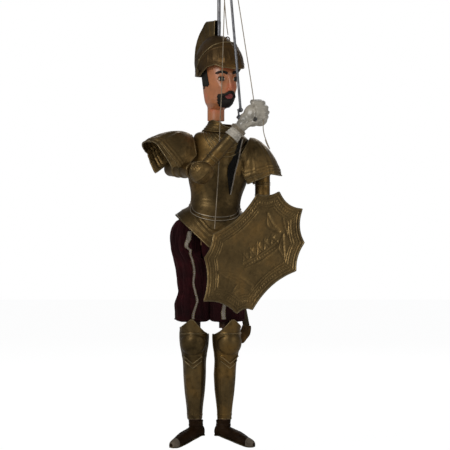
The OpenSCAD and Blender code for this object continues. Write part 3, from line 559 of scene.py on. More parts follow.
def split_shader(tree, seen_share, plain, seen):
    """Shows the camera one shader, by a share, over the plain one that all other rays meet."""
    path = tree.nodes.new("ShaderNodeLightPath")
    mix = tree.nodes.new("ShaderNodeMixShader")
    share = tree.nodes.new("ShaderNodeMath")
    share.operation = "MULTIPLY"
    share.inputs[1].default_value = seen_share
    tree.links.new(path.outputs["Is Camera Ray"], share.inputs[0])
    tree.links.new(share.outputs[0], mix.inputs[0])
    tree.links.new(plain.outputs[0], mix.inputs[1])
    tree.links.new(seen.outputs[0], mix.inputs[2])
    return mix.outputs[0]


def make_world(scene):
    """A soft grey sky that the camera sees as white."""
    world = scene.world or bpy.data.worlds.new("Studio")
    scene.world = world
    world.use_nodes = True
    tree = world.node_tree
    tree.nodes.clear()
    out = tree.nodes.new("ShaderNodeOutputWorld")
    plain, seen = tree.nodes.new("ShaderNodeBackground"), tree.nodes.new("ShaderNodeBackground")
    plain.inputs["Color"].default_value = (0.80, 0.82, 0.86, 1)
    plain.inputs["Strength"].default_value = 0.30
    seen.inputs["Color"].default_value = (1, 1, 1, 1)
    tree.links.new(split_shader(tree, 1.0, plain, seen), out.inputs[0])


def make_floor(scene):
    """A pale floor under the shoes, brightened where the camera sees it."""
    mesh = bpy.data.meshes.new("floor")
    z = up(0, 0, FLOOR_HEIGHT).z
    h = FLOOR_HALF
    mesh.from_pydata([(-h, -h, z), (h, -h, z), (h, h, z), (-h, h, z)], [], [(0, 1, 2, 3)])
    floor = bpy.data.objects.new("floor", mesh)
    scene.collection.objects.link(floor)
    m = Nodes("pale_floor")
    m.set(Base_Color=(0.86, 0.86, 0.85, 1), Roughness=0.9)
    glow = m.node("ShaderNodeEmission", Color=(1, 1, 1, 1), Strength=1.1)
    out = next(n for n in m.tree.nodes if n.type == "OUTPUT_MATERIAL")
    m.tree.links.new(split_shader(m.tree, 0.86, m.shader, glow), out.inputs[0])
    mesh.materials.append(m.material)


def add_object(scene, name, data, place, aim):
    """A lamp or the camera, aimed at a point of the figure."""
    obj = bpy.data.objects.new(name, data)
    scene.collection.objects.link(obj)
    obj.location = place
    obj.rotation_euler = (up(*aim) - Vector(place)).to_track_quat("-Z", "Y").to_euler()
    return obj


def make_stage():
    """The world, the floor, three lamps and a camera far off, so that the view is nearly flat."""
    scene = bpy.context.scene
    scene.view_settings.view_transform = "Standard"
    make_world(scene)
    make_floor(scene)
    for name, place, size, power in LAMPS:
        lamp = bpy.data.lights.new(name, "AREA")
        lamp.size, lamp.energy = size, power
        add_object(scene, name, lamp, place, LAMP_AIM)
    camera = bpy.data.cameras.new("camera")
    camera.lens, camera.sensor_width, camera.clip_end = 160, 36, 100
    scene.camera = add_object(scene, "camera", camera, up(*CAMERA_PLACE), VIEW_MIDDLE)


# Solids of the model that keep their shape

STEEL_NODES = ("main_rod", "string_eye", "neck_yoke", "neck_pin", "neck_eye", "shoulder_bar", "hip_axle",
               "pauldron_hinges", "shoulder_knuckle_right", "shoulder_knuckle_left", "elbow_pin_right",
               "elbow_pin_left", "wrist_link", "hand_rod", "knee_pin_right", "knee_pin_left", "shield_grip")
WOODEN_LIMBS = ("thigh_right", "thigh_left", "shin_right", "shin_left")
BRASS_LIMBS = ("upper_arm_right", "upper_arm_left", "forearm_right", "forearm_left")


def make_hardware():
    """Solids that are shown as they are, each with its finish."""
    for nodes, finish in ((STEEL_NODES, "steel"), (WOODEN_LIMBS, "limb"), (BRASS_LIMBS, "brass"),
                          (("visor_rivets",), "trim"), (("helmet_eyelet",), "dark_brass"),
                          (("torso_block",), "block"), (("rod_grip",), "grip"),
                          (("scabbard_hanger",), "leather")):
        for node in nodes:
            dress(node, finish)


# Torso

# Each form below is a list of rings: height, x, y, half width and half depth
CHEST = [(-4, 0, 0, 43, 37), (0, 0, 0, 43, 37), (22, 0, 0, 49, 42), (52, 0, 0, 58, 50), (70, 0, 0, 62, 53),
         (95, 0, 0, 61, 50), (118, 0, 0, 57, 43), (138, 0, 0, 55, 37), (146, 0, 0, 50, 32),
         (150, 0, 0, 40, 29)]


def chest_relief(angle, z):
    """The breast of the armour: two flat chest muscles, an arch under them and rib lines at the side."""
    a = angle % 360
    if a < 180:
        return 0.4 * ridge(a, 90, 4)
    r = 3.0 * bell(a, 243, 26) * bell(z, 92, 22) + 3.0 * bell(a, 331, 26) * bell(z, 92, 22)
    r -= 1.6 * bell(a, 287, 5) * bell(z, 80, 40)
    if a < 280:
        for k in range(4):
            line = 50 - 11 * k + 0.42 * (a - 200)
            r += 0.9 * ridge(z, line, 2.6) * bell(a, 222, 24)
    r += 1.0 * ridge(z, 8, 2.2) + 1.0 * ridge(z, 14, 2.2)
    return r


ARMHOLE_HEIGHT = 575.5
ARMHOLE_RADIUS = 17.0
ARMHOLE_REACH = 63.5
COLLAR = [(150.2, 0, 0, 39.5, 29), (154, 0, 0, 36.6, 28), (160, 0, 0, 32.5, 27), (166, 0, 0, 29, 26),
          (170.2, 0, 0, 27.2, 25.5)]
COLLAR_FOOT = 150.2
COLLAR_TOP = 170.0


def clear_armhole(verts, faces, at):
    """Cuts the round armholes, and draws the cut's edge to their circle."""
    inside = set()
    for i, w in enumerate([at @ Vector(v) for v in verts]):
        r = math.hypot(w.y, w.z - ARMHOLE_HEIGHT)
        if abs(w.x - TORSO_MIDDLE) < 30 or r > ARMHOLE_RADIUS + 1.8:
            continue
        if r < ARMHOLE_RADIUS - 1.8:
            inside.add(i)
        else:
            k = ARMHOLE_RADIUS / r
            verts[i] = at.inverted() @ Vector((w.x, w.y * k, ARMHOLE_HEIGHT + (w.z - ARMHOLE_HEIGHT) * k))
    return verts, [f for f in faces if not any(i in inside for i in f)]


def armhole_rim(form, side):
    """Points on the chest round one armhole."""
    points = circle((side * ARMHOLE_REACH, 0, ARMHOLE_HEIGHT - TORSO_HEIGHT), ARMHOLE_RADIUS, 36, "X")
    for q in points:
        cx, _, w, d = form.ring(q.z)
        q.x = cx + side * (w + 0.6) * math.cos(math.asin(max(-1, min(1, q.y / (d + 1)))))
    return points


def make_collar(sizes, chest):
    """The pleated collar and the bent ribs below it."""
    form = Form(COLLAR, lambda a, z: 0.9 * abs(math.sin((z - 150) * math.pi / 4.6)))

    def neckline(a):
        """Height of the collar's edge: a peak at the front right, low at the front left."""
        return 168.5 + 5.0 * bell((a + 90) % 360, 320, 26) - 7.0 * bell((a + 90) % 360, 30, 34)

    def band(u, v, out=0.0):
        z = COLLAR_FOOT + (neckline(360 * u) - COLLAR_FOOT) * v
        pleat = 0.7 * abs(math.sin(v * math.pi * 4.0)) * (1 - v * v)
        return (form.at(360 * u, min(COLLAR_TOP, z), out + pleat)
                + Vector((0, 0, max(0.0, z - COLLAR_TOP))))
    piece("collar", grid(band, 96, 44, wrap=True),
          "brass", "torso", TORSO, ("gorget",), thick=SHEET)
    wires = [tube([band(k / 80, 1.0, 0.2) for k in range(80)], sizes.edge_wire * 0.8, closed=True)]
    for k in range(5):
        drop, half = 12 + 8.5 * k, 24 + 6.2 * k
        line = [chest.front(12 + half * (2 * t - 1), 149 - drop * math.sin(math.pi * t) ** 0.8, 0.3)
                for t in [i / 24 for i in range(25)]]
        wires.append(tube(line, sizes.edge_wire * (0.9 if k == 4 else 0.6)))
    piece("collar_ribs", joined(wires), "trim", "torso", TORSO)


def make_torso(sizes):
    """The breastplate, the backplate, the wires round their armholes, and the collar."""
    form = Form(CHEST, chest_relief)
    for name, a0, a1 in (("breastplate", 180.2, 359.8), ("backplate", 0.2, 179.8)):
        verts, faces = grid(lambda u, v: form.at(a0 + (a1 - a0) * u, -4 + 154 * v), 90, 62)
        piece(name + "_sheet", clear_armhole(verts, faces, TORSO),
              "brass", "torso", TORSO, (name,), thick=SHEET)
    rims = [tube(armhole_rim(form, side), sizes.edge_wire * 0.8, closed=True) for side in (-1, 1)]
    piece("armhole_rims", joined(rims), "trim", "torso", TORSO)
    make_collar(sizes, form)


# Skirt

FAULD = [(-78, 0, 0, 99, 67), (-38, 0, 0, 88, 59), (-14, 0, 0, 70, 51), (0, 0, 0, 52, 44),
         (10, 0, 0, 47.6, 41.4)]
FAULD_TOP = 10
WAIST_WIRE_DROPS = (26, 33)
LAME_HEIGHT = 11.0
LAMES = 3.2


def fauld_low(x):
    """Height of the skirt's lower edge: lowest in the middle, and rising to the hips."""
    x = abs(x)
    if x < 80:
        return -78 + max(0.0, x - 4) * 60 / 76
    return -18 + (x - 80) * 0.2


def fauld_edge(form, angle):
    """Height at which the form meets its lower edge, at one angle."""
    z = -40.0
    for _ in range(12):
        z = 0.5 * z + 0.5 * fauld_low(form.at(angle, z).x)
    return z


def waist_line(u, drop):
    """Height of a waist wire or of the breastplate's foot across the front."""
    return 9 - drop * math.sin(math.pi * u) ** 1.3


def make_skirt(sizes):
    """The skirt of lames with its wired edge, the waist wires, and the breastplate's foot over its top."""
    plain = Form(FAULD)
    edges = [fauld_edge(plain, 3.0 * k) for k in range(121)]

    def low(angle):
        t = (angle % 360) / 3.0
        i = min(119, int(t))
        return edges[i] + (edges[i + 1] - edges[i]) * (t - i)

    def lames(angle, z):
        t = (z - low(angle)) / LAME_HEIGHT
        return 2.1 * (1 - (t % 1.0)) if t < LAMES else 0.0

    form = Form(FAULD, lames)

    def point(u, v):
        z = low(360 * u)
        return form.at(360 * u, z + (FAULD_TOP - z) * v)
    piece("skirt_sheet", grid(point, 144, 66, wrap=True),
          "brass", "torso", TORSO, ("fauld",), thick=SHEET)
    rim = [plain.at(3 * k, low(3 * k) + 1.2, 0.9) for k in range(120)]
    piece("skirt_rim", tube(rim, sizes.edge_wire, closed=True), "trim", "torso", TORSO)
    waist = [tube([plain.at(188 + 164 * i / 40, waist_line(i / 40, drop), 2.1) for i in range(41)],
                  sizes.edge_wire * 0.65) for drop in WAIST_WIRE_DROPS]
    piece("waist_wires", joined(waist), "wire", "torso", TORSO)
    chest = Form(CHEST, chest_relief)

    def belly(u, v):
        """The flared foot of the breastplate, from the wires up to the breast."""
        a = 186 + 168 * u
        low_point = plain.at(a, waist_line(u, WAIST_WIRE_DROPS[0]), 2.0)
        p = low_point.lerp(chest.at(a, 46, -1.2), v)
        return p.lerp(chest.at(a, p.z), 0.85 * smooth([0.0, 0.35, 1.0], [0.0, 0.5, 1.0], v))
    piece("breastplate_foot", grid(belly, 90, 30), "brass", "torso", TORSO, thick=1.2)


# Ribbon of painted shade

# Where the ribbon starts on the breast, how far it runs, and its width along the way. Its width follows the
# wedge of shade that the forearm casts on the breast.
SHADE_RIBBON_START = (41, 141)
SHADE_RIBBON_RUN = (-14, -112)
SHADE_RIBBON_WIDTHS = ([0, 0.35, 0.5, 1], [4, 10, 15, 1.5])
RIBBON_BEADS = 46


def make_shade_ribbon():
    """A near-black ribbon with a pale braid on its edge, tucked down the breastplate. The ribbon is painted
    shade: a dark sheet laid over the wedge where the forearm's shadow falls.
    """
    chest = Form(CHEST, chest_relief)

    def ribbon(u, v, out=0.0):
        x, z = [start + way * v for start, way in zip(SHADE_RIBBON_START, SHADE_RIBBON_RUN)]
        x += (u - 1.0) * smooth(*SHADE_RIBBON_WIDTHS, v)
        return chest.front(x, z, 1.5 + out + 0.35 * math.sin(u * 9 + v * 14))
    cloth = piece("sash_painted_shade", grid(ribbon, 12, 60), "ribbon", "torso", TORSO, thick=0.7)
    beads = [blob(ribbon(0.97, (k + 0.5) / RIBBON_BEADS, 1.4), (1.5, 1.1, 1.3), n=8)
             for k in range(RIBBON_BEADS)]
    trim = piece("sash_braid", joined(beads), "braid", "torso", TORSO)


# Pauldrons

PAULDRON = [(-92, 22, 0, 42, 43), (-70, 22, 0, 40, 42), (-45, 17, 0, 37, 40), (-20, 9, 0, 30, 34),
            (-4, 3, 0, 20, 25), (2, 1, 0, 13, 18), (5, 0, 0, 8, 12), (6, 0, 0, 3, 5), (6.2, 0, 0, 0.4, 0.6)]
PAULDRON_TOP = 6.2
PAULDRON_RIBS = (0.05, 0.09, 0.13, 0.23, 0.30, 0.70, 0.77, 0.84)
# How far the front corner of each pauldron is drawn in over the breast
FLAPS = {"right": 36.0, "left": 20.0}


def pauldron_low(x):
    """Height of the lower edge: it dips to a point over the arm."""
    if x < 6:
        return -62 - 26 * max(0.0, x) / 6
    if x < 42:
        return -88 + 21 * (x - 6) / 36
    return -67 - 4 * (x - 42) / 22


def pauldron_relief(u, v):
    """Beaten ribs that fade out at the top, and two ridges along the lower edge."""
    ribs = sum(1.6 * bell(u, rib, 0.016) for rib in PAULDRON_RIBS)
    return ribs * min(1.0, 3 * (1 - v)) + 1.1 * bell(v, 0.16, 0.03) + 0.9 * bell(v, 0.24, 0.02)


def make_pauldron(sizes, side, at):
    """One shoulder piece: a flared half bell with beaten ribs and a wired edge."""
    plain = Form(PAULDRON)
    n = 96

    def reach(z):
        """The angle at which the half bell ends, on the body's side."""
        cx, _, w, _ = plain.ring(z)
        return math.degrees(math.acos(max(-1.0, min(1.0, -cx / w))))

    def edge(u):
        z = -70.0
        for _ in range(14):
            z = 0.5 * z + 0.5 * pauldron_low(plain.at((2 * u - 1) * reach(z), z).x)
        return z

    edges = [edge(i / n) for i in range(n + 1)]

    def point(u, v):
        i = min(n - 1, int(u * n))
        low = edges[i] + (edges[i + 1] - edges[i]) * (u * n - i)
        z = low + (PAULDRON_TOP - low) * v
        p = plain.at((2 * u - 1) * reach(z), z, pauldron_relief(u, v))
        p.x -= FLAPS[side] * bell(u, 0.0, 0.17) * min(1.0, 1.9 * (1 - v)) * min(1.0, 3 * v + 0.62)
        return p
    body = f"pauldron_{side}"
    # The sheet takes the paler brass copy, which is painted light.
    piece(f"pauldron_{side}_sheet", grid(point, n, 56),
          "painted_light_brass", body, at, (body,), thick=SHEET)
    wires = [tube([point(i / n, 0.008) for i in range(n + 1)], sizes.edge_wire),
             tube([point(i / n, 0.10) for i in range(n + 1)], sizes.edge_wire * 0.55)]
    wires += [tube([point(u, v / 40) for v in range(40)], sizes.edge_wire * 0.7) for u in (0.004, 0.996)]
    wires.append(tube([Vector((0, y, 0)) for y in (-9, -3, 3, 9)], 0.0066, 16))
    piece(f"pauldron_{side}_wires", joined(wires), "trim", body, at)


# Arms and hands

CUFF = [(-116, 0, 0, 12, 12), (-113, 0, 0, 13, 13), (-108, 0, 0, 12.8, 12.8), (-100, 0, 0, 13.6, 13.6),
        (-94, 0, 0, 14.6, 14.6), (-88.5, 0, 0, 15.2, 15.2)]
FOREARM_BEADS = (12.9, 32, (-32, -38, -84, -88))
UPPER_ARM_BEADS = (15.2, 36, (-28, -32, -52, -57, -88))
GUARD_RADIUS = 24.2


def bead_lines(sizes, beads):
    """Thin rings round a limb, from their radius, number of points and heights."""
    radius, n, heights = beads
    return joined([tube(circle((0, 0, z), radius, n), sizes.edge_wire * 0.7, closed=True) for z in heights])


def elbow_guard(u, v):
    """The elbow guard: part of a ball round the pin, with a keel and two beaten rings."""
    phi, beta = math.radians(31 + 148 * u), math.radians(-87 + 174 * v)
    s = abs(2 * v - 1)
    r = GUARD_RADIUS + 1.0 * ridge(v, 0.5, 0.03) + 0.7 * bell(s, 0.42, 0.035) + 0.7 * bell(s, 0.52, 0.035)
    r += 0.5 * math.cos(phi * 14) * bell(s, 0.75, 0.13)
    across = r * math.cos(beta)
    return Vector((r * math.sin(beta), across * math.sin(phi), -across * math.cos(phi)))


def make_arm(sizes, side, upper, at):
    """The fine parts of an arm: bead lines, the ribbed cuff and the elbow guard."""
    body = f"forearm_{side}"
    piece(f"forearm_{side}_beads", bead_lines(sizes, FOREARM_BEADS), "trim", body, at)
    cuff = Form(CUFF, lambda a, z: 0.35 * math.sin(math.radians(a) * 16) + 0.5 * math.sin(z * 1.1))
    cloth = piece(f"cuff_{side}_cloth", body_of_rings(cuff, -115.1, -88.6, 96, 30, 0.8),
                  "cuff", body, at, (f"cuff_{side}",), thick=0.8)
    # The guard takes the paler brass copy, which is painted light.
    piece(f"elbow_guard_{side}", grid(elbow_guard, 90, 90),
          "painted_light_brass", body, at, (f"elbow_cop_{side}",), thick=1.4)
    wires = [tube([elbow_guard(u, k / 60) for k in range(1, 60)], sizes.edge_wire * 0.4)
             for u in (0.006, 0.994)]
    wires += [blob(Vector((s * (GUARD_RADIUS + 0.4), 0, 0)), (1.6, 3.8, 3.8), n=16) for s in (-1, 1)]
    piece(f"elbow_guard_{side}_rim", joined(wires), "trim", body, at)
    piece(f"upper_arm_{side}_beads", bead_lines(sizes, UPPER_ARM_BEADS),
          "trim", f"upper_arm_{side}", upper)


def carve(name, parts, body, replaces, holes=()):
    """Joins rough forms into one carved and painted hand, rounds it off and drills it."""
    obj = piece(name, joined(parts), "gauntlet", body, FIGURE, replaces)
    m = obj.modifiers.new("Join", "REMESH")
    m.mode, m.voxel_size, m.use_smooth_shade = "VOXEL", 0.0011, True
    m = obj.modifiers.new("Soften", "SMOOTH")
    m.factor, m.iterations = 0.5, 3
    graph = bpy.context.evaluated_depsgraph_get()
    mesh = bpy.data.meshes.new_from_object(obj.evaluated_get(graph))
    obj.modifiers.clear()
    obj.data = mesh
    for start, way, radius in holes:
        drill(obj, start, way, radius)


def drill(obj, start, way, radius):
    """Opens a round hole through a carved piece, and lines it."""
    mesh = obj.data
    way = way.normalized()

    def along(v):
        return (v.co - start).dot(way)
    gone = {v.index for v in mesh.vertices if (v.co - start - way * along(v)).length < radius}
    keep = [p for p in mesh.polygons if gone.isdisjoint(p.vertices)]
    cut = [p for p in mesh.polygons if not gone.isdisjoint(p.vertices)]
    rim = [mesh.vertices[i] for i in {i for p in cut for i in p.vertices} - gone]
    for v in rim:
        foot = start + way * along(v)
        v.co = foot + (v.co - foot).normalized() * radius
    if not rim:
        raise RuntimeError("the hole missed " + obj.name)
    reach = [along(v) for v in rim]
    verts = [v.co.copy() for v in mesh.vertices]
    faces = [tuple(p.vertices) for p in keep]
    side = way.orthogonal().normalized()
    other = way.cross(side)
    n, count = 28, len(verts)
    for z in (min(reach) + 0.0004, max(reach) - 0.0004):
        verts += [start + way * z + radius * (math.cos(a) * side + math.sin(a) * other)
                  for a in [math.tau * i / n for i in range(n)]]
    faces += [(count + i, count + n + i, count + n + (i + 1) % n, count + (i + 1) % n) for i in range(n)]
    new = bpy.data.meshes.new(mesh.name)
    new.from_pydata(verts, [], faces)
    for m in mesh.materials:
        new.materials.append(m)
    new.polygons.foreach_set("use_smooth", [True] * len(new.polygons))
    obj.data = new


def finger(points, r):
    """A rounded bar for a curled finger."""
    return [tube(run(points, 2.5), r * 0.002, 10), blob(points[0], (r, r, r)), blob(points[-1], (r, r, r))]


FINGER_STEP = 9.2
FINGER_REACH = (86, 92, 94, 92)
SWORD_HOLE = (up(79, -97, 651), Vector((-0.342, -0.940, 0)), 0.0045)


def make_hands():
    """The raised right fist, with its hole for a sword, and the left fist on the shield's grip."""
    parts = [blob((67, -97, 660), (20, 17, 23), (0, 14, 0)), blob((53, -97, 650), (16, 14, 15)),
             blob((46, -96.5, 641), (12.5, 12.5, 12.5)), blob((80, -97, 652), (15, 14, 14))]
    for k, reach in enumerate(FINGER_REACH):
        z = 684 - FINGER_STEP * k
        parts += finger([(66, -88, z + 2), (reach - 6, -90, z + 2), (reach, -99, z),
                         (reach - 5, -110, z - 1), (reach - 18, -113, z - 1.5)], 5.3)
    parts += finger([(57, -108, 641), (65, -115, 645), (74, -117, 648), (80, -114, 650)], 5.4)
    carve("fist_right_carved", parts, "forearm_right", ("fist_right",), [SWORD_HOLE])
    hub = Vector(SHIELD_MIDDLE) - 38 * SHIELD_FACE
    parts = [blob(hub, (17, 15, 20), (20, -30, 0)), blob(hub + Vector((-2, 12, 6)), (14, 14, 14)),
             blob(hub + Vector((-3, 22, 10)), (12, 12, 12))]
    for k in range(4):
        knuckle = hub + SHIELD_UP * (15 - 10 * k)
        parts += finger([knuckle + SHIELD_WAY * way + SHIELD_FACE * out
                         for way, out in ((14, -4), (13, 8), (0, 13), (-10, 9))], 4.6)
    carve("fist_left_carved", parts, "forearm_left", ("fist_left",))


# Shield

SHIELD_HALF_LONG = 150
SHIELD_HALF_SHORT = 102
# How deep each of the ten sides bows in, and where the photographed corners leave the regular form
SHIELD_DIPS = (9, 6, 12, 6, 9, 9, 6, 12, 6, 9)
CORNER_SHIFTS = {0: (-19, 7), 9: (-6, 19), 8: (-6, 15), 7: (-1, 14), 6: (9, 0), 4: (2, 3)}
SIDE_STEPS = 12


def shield_points():
    """The outline of the shield, in its own plane."""
    x, y = SHIELD_HALF_LONG, SHIELD_HALF_SHORT
    corners = [(x, 0), (x * 0.71, y * 0.7), (x * 0.42, y), (-x * 0.42, y), (-x * 0.71, y * 0.7),
               (-x, 0), (-x * 0.71, -y * 0.7), (-x * 0.42, -y), (x * 0.42, -y), (x * 0.71, -y * 0.7)]
    corners = [Vector(q) + Vector(CORNER_SHIFTS.get(i, (0, 0))) for i, q in enumerate(corners)]
    points = []
    for dip, a, b in zip(SHIELD_DIPS, corners, corners[1:] + corners[:1]):
        inward = Vector((a.y - b.y, b.x - a.x)).normalized()
        for k in range(SIDE_STEPS):
            t = k / SIDE_STEPS
            points.append(a + (b - a) * t + inward * (dip * 4 * t * (1 - t)))
    return points


def strokes_along(points, width, height):
    """Short straight strokes that follow a smooth curve."""
    path = run([(x, y, 0) for x, y in points], 4.0)
    return [((a.x, a.y), (b.x, b.y), width, height) for a, b in zip(path, path[1:])]


def frond(tip, middle, foot, spread):
    """A long palm leaf: two bowed edges and a midrib between them."""
    side = Vector((foot[1] - tip[1], tip[0] - foot[0])).normalized() * spread
    out = []
    for k, w, h in ((1, 1.6, 1.2), (0, 1.3, 0.8), (-1, 1.6, 1.2)):
        out += strokes_along([tip, (middle[0] + k * side.x, middle[1] + k * side.y), foot], w, h)
    return out


CROWN_LEAN = -10.0
STROKE_WIDTH = 1.5


def shield_strokes():
    """The beaten device: a crown with five leaf points on a beaded band, between long palm leaves."""
    s = []
    crown = Matrix.Rotation(math.radians(CROWN_LEAN), 2)

    def at(x, y):
        q = crown @ Vector((x, y))
        return (q.x + 7, q.y - 13)
    for y in (-5, 8):
        s += strokes_along([at(-44, y + 3), at(0, y - 2), at(44, y + 3)], 1.5, 1.2)
    for i in range(-6, 7):
        s.append((at(i * 6.4, 1.5), at(i * 6.4 + 1.6, 1.5), 1.7, 1.0))
    for i in range(-2, 3):
        x, top = i * 18.0, 31 - 2 * abs(i)
        s += strokes_along([at(x - 8, 9), at(x - 2.5, 19), at(x, top)], 1.4, 1.2)
        s += strokes_along([at(x + 8, 9), at(x + 2.5, 19), at(x, top)], 1.4, 1.2)
        s += strokes_along([at(x - 5, top - 3), at(x, top - 7), at(x + 5, top - 3)], 1.3, 0.9)
        s.append((at(x, 12), at(x, 19), 1.6, 0.8))
    s += frond((-93, 31), (-65, -10), (-38, -55), 7.0)
    s += frond((-92, -34), (-70, -28), (-40, -57), 5.0)
    s += frond((98, 34), (88, 12), (78, -14), 4.0)
    s += frond((62, 52), (56, 30), (66, 2), 5.0)
    s += frond((70, -8), (52, -30), (48, -52), 5.0)
    return [(a, b, STROKE_WIDTH * w, h) for a, b, w, h in s]


def shield_border(gap, along):
    """Relief by the distance from the edge: two ridges, a row of beads and two more ridges."""
    h = 0.8 * bell(gap, 2.0, 2.2) + 0.8 * bell(gap, 8.0, 1.2)
    h += 0.9 * bell(gap, 21, 1.2) + bell(gap, 26, 1.3)
    if 10 < gap < 19:
        h += max(0.0, math.cos(math.tau * along / 7.0)) * bell(gap, 14.5, 2.6)
    return h


def stroke_height(p, strokes):
    """Height of the highest stroke at a point of the face."""
    best = 0.0
    for a, b, width, height in strokes:
        if abs(p.x - a[0]) > 10 or abs(p.y - a[1]) > 10:
            continue
        x, y = b[0] - a[0], b[1] - a[1]
        t = max(0.0, min(1.0, ((p.x - a[0]) * x + (p.y - a[1]) * y) / (x * x + y * y + 1e-6)))
        d = math.hypot(p.x - a[0] - t * x, p.y - a[1] - t * y)
        best = max(best, height * math.exp(-(d / width) ** 2))
    return best


def make_shield(sizes):
    """The beaten face, drawn as rings from the edge to the middle, and the wire round it."""
    outline = shield_points()
    n, rings = 3 * len(outline), 84
    length = [0.0]
    for a, b in zip(outline, outline[1:] + outline[:1]):
        length.append(length[-1] + (b - a).length)

    def on_edge(t):
        d = t * length[-1]
        i = max(k for k in range(len(outline)) if length[k] <= d)
        a, b = outline[i], outline[(i + 1) % len(outline)]
        return a + (b - a) * ((d - length[i]) / max(1e-6, length[i + 1] - length[i]))

    edge = [on_edge(i / n) for i in range(n)]
    strokes = shield_strokes()
    verts, faces = [], []
    for i, e in enumerate(edge):
        near = outline[max(0, i // 3 - 7):i // 3 + 8]
        for j in range(rings + 1):
            p = e * (1 - (j / rings) ** 1.15 * 0.995)
            gap = min([(p - q).length for q in near] + [(e - p).length])
            h = shield_border(gap, length[-1] * i / n) + (stroke_height(p, strokes) if gap > 28 else 0.0)
            verts.append(Vector((p.x, p.y, h)))
    row = rings + 1
    for i in range(n):
        a, b = i * row, (i + 1) % n * row
        faces += [(a + j, b + j, b + j + 1, a + j + 1) for j in range(rings)]
    count = len(verts)
    verts += [Vector((e.x, e.y, -2.0)) for e in edge] + [Vector((0, 0, -2.0))]
    for i in range(n):
        j = (i + 1) % n
        faces += [(i * row, count + i, count + j, j * row), (count + j, count + i, count + n)]
    faces.append(tuple(i * row + rings for i in range(n)))
    # The face takes the paler brass copy, which is painted light.
    piece("shield_beaten", (verts, faces), "painted_light_brass", "shield", SHIELD, ("shield",), sharp=50)
    rim = [Vector((q.x * 0.992, q.y * 0.99, -0.5)) for q in edge[::2]]
    piece("shield_edge", tube(rim, sizes.edge_wire * 1.1, closed=True), "trim", "shield", SHIELD)


# Shoes

# A shoe's sections from heel to toe: place, height of the middle, half width and half height
SHOE = [(-20, 31, 9.5, 8.0), (-17, 31, 12.2, 12.5), (-8, 32, 13.2, 13.5), (4, 29, 13.0, 13.5),
        (18, 25, 12.6, 13.0), (34, 20.5, 13.4, 12.6), (48, 15.5, 12.4, 11.0), (58, 11.6, 10.6, 9.4),
        (66, 9.6, 8.2, 7.8), (70, 8.8, 5.4, 5.4), (71.6, 8.6, 2.4, 2.6)]
SHOE_PLACES, *SHOE_COLUMNS = [list(column) for column in zip(*SHOE)]
HEEL, TOE = SHOE_PLACES[0], SHOE_PLACES[-1]
ANKLE = [(31, 0, 3, 13.2, 15.2), (38, 0, 4, 13.6, 15.4), (46, 0, 4, 13.8, 15.0), (53.4, 0, 4, 13.8, 14.8)]


def shoe_section(t):
    """Height of the middle, half width and half height of a shoe at one place of its length."""
    return [smooth(SHOE_PLACES, column, t) for column in SHOE_COLUMNS]


def shoe_skin(u, v, out=0.0):
    """The shoe's skin: v runs from heel to toe, u round it from the sole's middle."""
    t = HEEL + (TOE - HEEL) * v
    z, w, h = shoe_section(t)
    a = math.tau * u - math.pi / 2
    c, s = math.cos(a), math.sin(a)
    crease = 0.6 * (bell(t, 14, 1.5) + bell(t, 22, 1.7) + 0.7 * bell(t, 30, 1.5)) * max(0.0, s)
    y = h * (s if s > 0 else 0.78 * math.copysign(abs(s) ** 0.5, s))
    return Vector(((w + out) * math.copysign(abs(c) ** 0.85, c), -t, z + y + out * s - crease))


def shoe_sole(u, v):
    """The flat sole under the shoe, a little wider than it."""
    t = HEEL + 0.6 + (TOE - HEEL - 0.4) * v
    z, w, h = shoe_section(t)
    return Vector(((w + 0.5) * (2 * u - 1), -t, z - 0.74 * h - 0.35))


def make_shoes():
    """Pointed leather shoes that hang toe down, each with a thin sole, a pale toe cap and an ankle top."""
    ankle = Form(ANKLE, lambda a, z: 0.6 * ridge(z, 51.4, 1.6) + 0.5 * math.sin(z * 0.9) * bell(z, 40, 7))
    for side, at, angle in (("right", SHIN_R, -34), ("left", SHIN_L, 32)):
        foot = at @ move(0, 0, -KNEE) @ turn(angle, "Z")
        body = f"shin_{side}"
        verts, faces = grid(shoe_skin, 64, 80, wrap=True)
        faces += [tuple(range(64))[::-1], tuple(range(80 * 64, 81 * 64))]
        piece(f"shoe_{side}_upper", (verts, faces), "leather", body, foot, (f"shoe_{side}",))
        piece(f"shoe_{side}_sole", grid(shoe_sole, 10, 50), "scabbard", body, foot, thick=1.8)
        cap = grid(lambda u, v: shoe_skin(0.01 + 0.98 * u, 0.845 + 0.15 * v, 0.7), 40, 14)
        piece(f"shoe_{side}_cap", cap, "toe", body, foot, thick=0.8)
        top = grid(lambda u, v: ankle.at(360 * u, 31 + 22.4 * v), 48, 24, wrap=True)
        piece(f"shoe_{side}_top", top, "leather", body, foot, thick=1.4)


# Breeches, greaves and scabbard

BREECHES_R = [(250, -52.5, 0, 30, 29), (258, -52.8, 0, 35.2, 33), (284, -53, 0, 36.5, 36),
              (300, -51.3, 0, 34.7, 33), (314, -49.5, 0, 33, 30), (334, -50.8, 0, 34.2, 32),
              (354, -51.5, 0, 35, 36), (374, -54.5, 0, 36, 40), (396, -66, 0, 30.5, 42),
              (414, -67, 0, 31, 42), (434, -66.5, 0, 30, 40), (450, -63, 0, 25, 33), (458, -59, 0, 17, 22),
              (462, -57, 0, 8, 10)]


SEAT = [(362, -18.5, 0, 6, 20), (376, -18.5, 0, 16.5, 26), (384, -18.5, 0, 18.6, 30),
        (400, -18.5, 0, 19.2, 36), (424, -18.5, 0, 19.2, 39), (446, -18.5, 0, 18.9, 37),
        (462, -18.5, 0, 16.5, 28)]
HEM_WIRE = 0.0032


